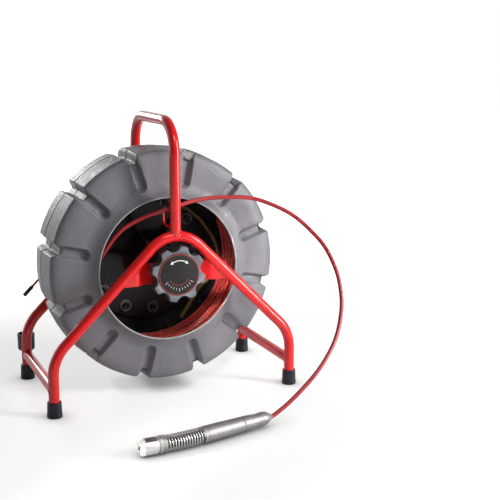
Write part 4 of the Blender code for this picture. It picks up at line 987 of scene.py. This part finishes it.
# The hub: a barrel with a flange, and ribs between the two
def build_hub():
    back = BACK_Y - 0.0002
    outline = [(HUB_BORE, HUB_FRONT_Y), (0.0440, HUB_FRONT_Y, 0.001),
               (HUB_RADIUS, HUB_FRONT_Y + 0.002, 0.001), (HUB_RADIUS, FLANGE_FRONT_Y - 0.020, 0.014),
               (HUB_RADIUS + 0.016, FLANGE_FRONT_Y, 0.012),
               (FLANGE_RADIUS, FLANGE_FRONT_Y, 0.006), (FLANGE_RADIUS, FLANGE_BACK_Y, 0.0005),
               (HUB_RADIUS, FLANGE_BACK_Y, 0.0005), (HUB_RADIUS, back, 0.0005), (HUB_BORE, back)]
    root = FLANGE_FRONT_Y + 0.004
    profile = soften([(0.044, 0.010), (0.050, 0.008, 0.004), (0.075, 0.060, 0.02),
                      (0.122, FLANGE_FRONT_Y - 0.001, 0.006), (0.120, root), (0.044, root)],
                     0.001, 6, closed=True)
    points = []
    for aside, bevel in ((-0.0030, 0.0010), (-0.0022, 0.0), (0.0022, 0.0), (0.0030, 0.0010)):
        points.extend((r - bevel, aside, y + bevel) for r, y in profile)
    count = len(profile)
    faces = grid(4, count, wrap_columns=True) + [tuple(range(count)), tuple(range(3 * count, 4 * count))]
    ribs = [moved((points, faces), Matrix.Rotation(-math.radians(112 + 60 * i), 4, "Z")) for i in range(6)]
    shape = joined(turned(soften(outline, 0.0005, 5, closed=True), 120, True), *ribs)
    piece("hub_casting", "drum", "black_plastic", BLACK, *shape, place=AXLE, nodes=["drum_hub"])


# Socket screws in the flange, each in a raised ring coloured light grey: a painted highlight of the rings'
# lit edges
def build_hub_screws():
    seat = FLANGE_FRONT_Y - GAP
    top = seat - 0.0105
    steps = 36
    outline = [(0.0160, seat), (0.0160, seat - 0.0024, 0.0009), (0.0148, seat - 0.0036, 0.0008),
               (0.0120, seat - 0.0036, 0.0006), (0.0108, seat - 0.0016, 0.0008), (0.0082, seat - 0.0016),
               (0.0076, seat)]
    ring = turned(soften(outline, 0.0004), steps, True)
    outline = [(0.0040, BACK_Y + 0.0004), (0.0040, seat), (0.0075, seat), (0.0075, top + 0.0010, 0.0006),
               (0.0068, top, 0.0005), (0.0044, top, 0.0003)]
    points, faces = turned([(0.0, BACK_Y + 0.0004), *soften(outline, 0.0003, 3)], steps)
    rim = len(points) - steps
    for level in (top + 0.0004, top + 0.0050):
        for a in around(steps):
            flat = 0.0034 / math.cos((a + math.pi / 6) % (math.pi / 3) - math.pi / 6)
            points.append(about_z(flat, a, level))
    faces += grid(3, steps, wrap_columns=True, start=rim)
    faces.append(tuple(range(rim + 2 * steps, rim + 3 * steps)))
    kinds = [0] * len(ring[1]) + [1] * len(faces)
    shape = joined(ring, (points, faces))
    for i in range(BOLT_COUNT):
        angle = BOLT_PHASE + 2 * math.pi * i / BOLT_COUNT
        spot = Matrix.Translation(about_y(BOLT_CIRCLE, angle))
        place = HUB @ spot @ Matrix.Rotation(0.7 * i, 4, "Y") @ LIE_BACK
        piece(f"hub_screw_{i + 1:02d}", "drum", "black_steel", [BOSS_RING_HIGHLIGHT, BLACK_STEEL], *shape, place=place,
              nodes=[f"hub_bolt_{i + 1:02d}"], kinds=kinds)


# The open inner layer of the wound cable: its turns lie by twos, one of them proud, and swap places in a bend
def build_winding():
    count = round(WINDING_LOOPS * 84)
    path = []
    for i in range(count + 1):
        angle = WINDING_END + 2 * math.pi * WINDING_LOOPS * (1 - i / count)
        y = WINDING_BACK_Y + (WINDING_FRONT_Y - WINDING_BACK_Y) * i / count
        turn = (angle - WINDING_SWAP) / (2 * math.pi) % 2
        settled = eased(min(min(turn % 1, 1 - turn % 1) / 0.09, 1.0))
        proud = 0.5 + (0.5 if turn < 1 else -0.5) * settled
        clear = min(max((y - WINDING_CLEAR_Y) / 0.010, 0.0), 1.0)
        wave = 0.0011 * settled * math.sin(1.7 * angle)
        lift = proud * (WINDING_STEP + 0.0008 * (1 + math.sin(2.3 * angle)))
        radius = WINDING_RADIUS - clear * lift
        path.append(about_y(radius, angle, y + clear * wave))
    bar("wound_cable", "drum", "cable_jacket", WOUND_PAINTED_LIGHT, "push_cable_winding", path, CABLE_RADIUS, 14, DOMED_END,
        place=HUB)


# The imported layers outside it: a ring whose inside and both ends show the turns
def build_wound_layers():
    turns, layers = 11, 3
    half = (CORE_BACK_Y - CORE_FRONT_Y) / turns / 2
    high = (CORE_OUTER - CORE_INNER - half) / layers
    arc = np.radians(np.linspace(0.0, 180.0, 8))
    outline = []
    for k in range(turns):
        middle = CORE_FRONT_Y + half + 2 * half * k
        outline.extend((CORE_INNER + half * (1 - math.sin(a)), middle - half * math.cos(a)) for a in arc)
    middles = [CORE_INNER + half + high * (k + 0.5) for k in range(layers)]
    for r in middles:
        outline.extend((r - high / 2 * math.cos(a), CORE_BACK_Y - half * (1 - math.sin(a))) for a in arc)
    outline += [(CORE_OUTER, CORE_BACK_Y - half), (CORE_OUTER, CORE_FRONT_Y + half)]
    for r in reversed(middles):
        outline.extend((r + high / 2 * math.cos(a), CORE_FRONT_Y + half * (1 - math.sin(a))) for a in arc)
    piece("wound_layers", "drum", "cable_jacket", WOUND_PAINTED_LIGHT, *turned(outline, 144, True), place=AXLE,
          nodes=["push_cable_core"], sharp=70)


def build_lead():
    path = smooth_path(LEAD_ROUTE, 70)
    bar("drum_lead", "drum", "lead_jacket", LEAD, "inner_lead", path, LEAD_RADIUS, 16, DOMED_END, place=HUB)


# Axle fittings that show from the sides and back
def build_fittings():
    outline = [(0.0098, 0.1079), (0.0385, 0.1079, 0.0015), (0.0400, 0.1100, 0.001), (0.0400, 0.1180, 0.0006),
               (0.0390, 0.1186, 0.0004), (0.0390, 0.1204, 0.0004), (0.0400, 0.1210, 0.0006),
               (0.0400, 0.1315, 0.001), (0.0385, 0.1335, 0.0015), (0.0098, 0.1335)]
    lathe("slip_ring_can", "frame", "black_plastic", BLACK, "slip_ring_housing", outline, 0.0006, 72, AXLE,
          True)
    flats, corner, bore, chamfer, steps = 0.0143, 0.0165 * 0.93, 0.0099, 0.0012, 48
    front, back = NUT_FRONT_Y, NUT_FRONT_Y + NUT_THICKNESS
    points = []
    for level, limit in ((front, corner), (front + chamfer, 1.0), (back - chamfer, 1.0), (back, corner)):
        for a in around(steps):
            reach = min(flats / math.cos(a % (math.pi / 3) - math.pi / 6), limit)
            points.append(about_z(reach, a, level))
    for level in (back, front):
        points.extend(about_z(bore, a, level) for a in around(steps))
    piece("axle_lock_nut", "frame", "plain_steel", STEEL, points,
          grid(6, steps, wrap_rows=True, wrap_columns=True), place=AXLE, nodes=["rear_axle_nut"], sharp=25)
    outline = [(0.0036, -0.010), (0.0036, -0.0215), (0.0050, -0.022, 0.0006), (0.0066, -0.0190, 0.001),
               (0.0076, -0.0120, 0.001), (0.0090, -0.0112, 0.0005), (0.0090, -0.0004, 0.0005),
               (0.0036, -0.0004)]
    lathe("gland_nut", "frame", "black_plastic", BLACK, "cord_gland", outline, 0.0004, 36,
          STAND @ Matrix.Translation((0.0, 0.1207, HUB_Z - 0.0403)), True)


# Knob

# The knob's outline: round scallops between round lobes, smoothed twice
def knob_outline():
    centre = KNOB_RADIUS - SCALLOP_DEPTH + SCALLOP_RADIUS
    cosine = (centre ** 2 + SCALLOP_RADIUS ** 2 - KNOB_RADIUS ** 2) / (2 * centre * SCALLOP_RADIUS)
    half_arc = math.acos(cosine)
    edge = math.atan2(SCALLOP_RADIUS * math.sin(half_arc), centre - SCALLOP_RADIUS * math.cos(half_arc))
    sector = 2 * math.pi / KNOB_LOBES
    points = []
    for lobe in range(KNOB_LOBES):
        middle = KNOB_PHASE + lobe * sector
        cos, sin = math.cos(middle), math.sin(middle)
        for a in np.linspace(-half_arc, half_arc, 19):
            x, y = centre - SCALLOP_RADIUS * math.cos(a), SCALLOP_RADIUS * math.sin(a)
            points.append((x * cos - y * sin, x * sin + y * cos))
        for i in range(1, 9):
            a = middle + edge + (sector - 2 * edge) * i / 9
            points.append(about_z(KNOB_RADIUS, a)[:2])
    line = np.array(points)
    for _ in range(2):
        line = 0.5 * line + 0.25 * (np.roll(line, 1, axis=0) + np.roll(line, -1, axis=0))
    return line


def build_knob():
    line = knob_outline()
    along = units(np.roll(line, -1, axis=0) - np.roll(line, 1, axis=0))
    inward = np.stack([-along[:, 1], along[:, 0]], axis=1)
    turns = np.arctan2(line[:, 1], line[:, 0])
    bore, pocket, hollow = 0.0153, KNOB_FRONT_Y + 0.0007, KNOB_BACK_Y - 0.006
    front_round, back_round = 0.0026, 0.0020
    layers = []
    for a in np.linspace(0.0, math.pi / 2, 6):
        layers.append((front_round * (1 - math.sin(a)), KNOB_FRONT_Y + front_round * (1 - math.cos(a))))
    layers.append((0.0004, KNOB_FRONT_Y + 0.6 * (KNOB_BACK_Y - KNOB_FRONT_Y)))
    for a in np.linspace(0.0, math.pi / 2, 5):
        layers.append((0.0008 + back_round * (1 - math.cos(a)), KNOB_BACK_Y - back_round * (1 - math.sin(a))))

    def rings(*places):
        return [about_y(r, a, y) for r, y in places for a in turns]

    points = rings((bore, pocket), (LABEL_RADIUS - 0.004, pocket), (LABEL_RADIUS + 0.0008, pocket),
                   (LABEL_RADIUS + 0.0014, KNOB_FRONT_Y))
    points += [(x, y, z) for inset, y in layers for x, z in line + inward * inset]
    points += rings((0.040, KNOB_BACK_Y), (0.034, hollow), (bore, hollow))
    count = len(line)
    rows = len(points) // count
    # The face rows take the knob's plastic; the sides and back take its darker copy, painted shade
    kinds = np.where(np.arange(rows) < KNOB_FACE_ROWS, 0, 1)
    piece("star_knob", "knob", "knob_plastic", [KNOB, KNOB_SIDE_SHADE], points,
          grid(rows, count, wrap_rows=True, wrap_columns=True), place=HUB, nodes=["lock_knob"],
          kinds=np.repeat(kinds, count).tolist(), sharp=50)


# A flat mark on the badge: a band along an arc, standing a hair proud
def arc_band(inner, outer, start, end, steps):
    back = MARK_FRONT_Y + MARK_THICKNESS
    points = []
    for a in np.radians(np.linspace(start, end, steps)):
        for r, y in ((inner, back), (inner, MARK_FRONT_Y), (outer, MARK_FRONT_Y), (outer, back)):
            points.append(about_y(r, a, y))
    faces = grid(steps, 4, wrap_columns=True)
    if abs(end - start) < 359:
        faces += [(0, 1, 2, 3), tuple(len(points) - 4 + k for k in range(4))]
    return points, faces


# The point of an arrow along an arc
def arrow_head(radius, angle, size, sign):
    base = math.radians(angle)
    tip = base + sign * 1.7 * size / radius
    corners = ((radius - size, base), (radius, tip), (radius + size, base))
    points = []
    for y in (MARK_FRONT_Y, MARK_FRONT_Y + MARK_THICKNESS):
        points.extend(about_y(r, a, y) for r, a in corners)
    return points, [(0, 1, 2), (3, 4, 5), (0, 1, 4, 3), (1, 2, 5, 4), (2, 0, 3, 5)]


# The badge is generic: a turning arrow over a plain scale
def build_badge():
    back = KNOB_FRONT_Y + 0.0005
    outline = [(0.0, LABEL_FRONT_Y), (LABEL_RADIUS, LABEL_FRONT_Y, 0.0006), (LABEL_RADIUS, back), (0.0, back)]
    disc = moved(turned(soften(outline, 0.0004), 96), LIE_BACK)
    reds = [arc_band(0.0484, 0.0496, 0.0, 360.0, 97), arc_band(0.0250, 0.0258, 205.0, 335.0, 40)]
    low, high = 60.0, 118.0
    whites = [arc_band(0.0330, 0.0352, low, high, 30), arrow_head(0.0341, high, 0.0042, 1),
              arrow_head(0.0341, low, 0.0042, -1)]
    for i in range(11):
        middle = 210.0 + 12.0 * i
        outer = 0.0400 if i % 5 == 0 else 0.0370
        whites.append(arc_band(0.0320, outer, middle - 0.9, middle + 0.9, 3))
    kinds = []
    for kind, shapes in enumerate(([disc], reds, whites)):
        kinds += [kind] * sum(len(faces) for points, faces in shapes)
    piece("knob_badge", "knob", "knob_label", [BADGE, BADGE_RED, BADGE_WHITE], *joined(disc, *reds, *whites),
          place=HUB, nodes=["knob_label"], kinds=kinds)


# CAD nodes that stay, with their own finish: the axle and the small parts on it
def dress_nodes():
    finishes = {"axle_shaft": STEEL, "front_spacer": STEEL, "knob_washer": STEEL, "front_bearing": STEEL,
                "rear_bearing": STEEL, "drag_washer": BLACK, "slip_ring_rotor": BRASS, "knob_insert": BRASS}
    for name, finish in finishes.items():
        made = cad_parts[name]
        made.data.materials.clear()
        made.data.materials.append(finish)


# Floor, world and lamps

# A pale floor, darkened by ambient occlusion close to what stands on it: a painted contact shadow, which also
# dims its glow there. It also glows, less near the object: in full to the camera and through glass, by a
# share in mirrors, and not at all as light on other things
def build_floor():
    made = bpy.data.materials.new("pale_floor")
    made.use_nodes = True
    tree = made.node_tree
    shader = tree.nodes["Principled BSDF"]
    inputs = {"Color": FLOOR_COLOUR, "Distance": CONTACT_SHADOW_REACH}
    contact_shadow = add_node(tree, "AmbientOcclusion", inputs, samples=12).outputs
    tree.links.new(contact_shadow["Color"], shader.inputs["Base Color"])
    shader.inputs["Roughness"].default_value = 0.9
    shader.inputs["Specular IOR Level"].default_value = 0.1
    glow = add_node(tree, "Emission", {"Color": contact_shadow["AO"], "Strength": FLOOR_GLOW})
    place = add_node(tree, "TexCoord").outputs["Object"]
    distance = add_node(tree, "VectorMath", {0: place}, operation="LENGTH").outputs["Value"]
    fade = remap(tree, distance, (0.7, 1.3), (FLOOR_GLOW_NEAR, 1.0), smooth=True)
    rays = add_node(tree, "LightPath").outputs
    direct = maths(tree, "MAXIMUM", rays["Is Camera Ray"], rays["Is Transmission Ray"])
    mirrored = maths(tree, "MULTIPLY", rays["Is Glossy Ray"], FLOOR_IN_MIRRORS)
    share = maths(tree, "MULTIPLY", fade, maths(tree, "MAXIMUM", direct, mirrored))
    blend = add_node(tree, "MixShader", {0: share, 1: shader.outputs["BSDF"], 2: glow.outputs["Emission"]})
    tree.links.new(blend.outputs["Shader"], tree.nodes["Material Output"].inputs["Surface"])
    mesh = bpy.data.meshes.new("floor")
    corners = [(FLOOR_SIZE * x, FLOOR_SIZE * y, 0) for x, y in ((-1, -1), (1, -1), (1, 1), (-1, 1))]
    mesh.from_pydata(corners, [], [(0, 1, 2, 3)])
    mesh.materials.append(made)
    placed("floor", mesh)


# The studio: white to the camera and through glass, a grey backdrop in mirrors, a soft light on the rest
def build_world():
    world = bpy.data.worlds.new("studio")
    bpy.context.scene.world = world
    world.use_nodes = True
    tree = world.node_tree
    generated = add_node(tree, "TexCoord").outputs["Generated"]
    x, y, z = add_node(tree, "SeparateXYZ", {0: generated}).outputs

    def step(value, reach, to=(0.0, 1.0)):
        return remap(tree, value, reach, to, smooth=True)

    def times(a, b):
        return maths(tree, "MULTIPLY", a, b)

    across = maths(tree, "ADD", x, times(y, 0.5))
    left_to_right = (-0.9, 0.3)
    backdrop = times(step(y, (-0.5, 0.3)), step(z, (0.4, 0.85), (1.0, 0.0)))
    backdrop = times(backdrop, step(x, (0.30, 0.45), (1.0, MIRRORED_CORNER)))
    mirrored = maths(tree, "ADD", step(across, left_to_right, MIRRORED), times(backdrop, MIRRORED_BACKDROP))
    ambient = times(step(across, left_to_right, AMBIENT), step(z, (0.3, 0.9), (1.0, AMBIENT_OVERHEAD)))
    rays = add_node(tree, "LightPath").outputs
    glossy = times(rays["Is Glossy Ray"], maths(tree, "SUBTRACT", mirrored, ambient))
    direct = maths(tree, "MAXIMUM", rays["Is Camera Ray"], rays["Is Transmission Ray"])
    light = tree.nodes["Background"]
    light.inputs["Color"].default_value = (1.0, 1.0, 1.0, 1.0)
    strength = maths(tree, "MAXIMUM", maths(tree, "ADD", ambient, glossy), direct)
    tree.links.new(strength, light.inputs["Strength"])


def lamp(name, place, aim, size, power, spread):
    data = bpy.data.lights.new(name, "AREA")
    data.shape = "RECTANGLE"
    data.size, data.size_y = size
    data.energy = power
    data.spread = math.radians(spread)
    made = placed(name, data)
    turn = (Vector(aim) - Vector(place)).to_track_quat("-Z", "Y")
    made.matrix_world = Matrix.Translation(place) @ turn.to_matrix().to_4x4()
    made.visible_camera = False
    return made


# A lamp's light is kept off one piece, as a small flag in front of the lamp would
def keep_off(light, name):
    shaded = bpy.data.collections.new("shaded")
    shaded.objects.link(bpy.data.objects[name])
    shaded.collection_objects[0].light_linking.link_state = "EXCLUDE"
    light.light_linking.receiver_collection = shaded


def build_light():
    for name, *settings in LAMPS:
        made = lamp(name, *settings)
        if name in FLAGGED:
            keep_off(made, FLAGGED[name])
    bpy.context.scene.view_settings.view_transform = "Standard"


build_camera()
build_free_cable(build_head_tail())
build_head_spring()
build_camera_head()
build_stand()
build_shells()
build_hub()
build_hub_screws()
build_winding()
build_wound_layers()
build_lead()
build_fittings()
build_knob()
build_badge()
dress_nodes()
build_floor()
build_world()
build_light()
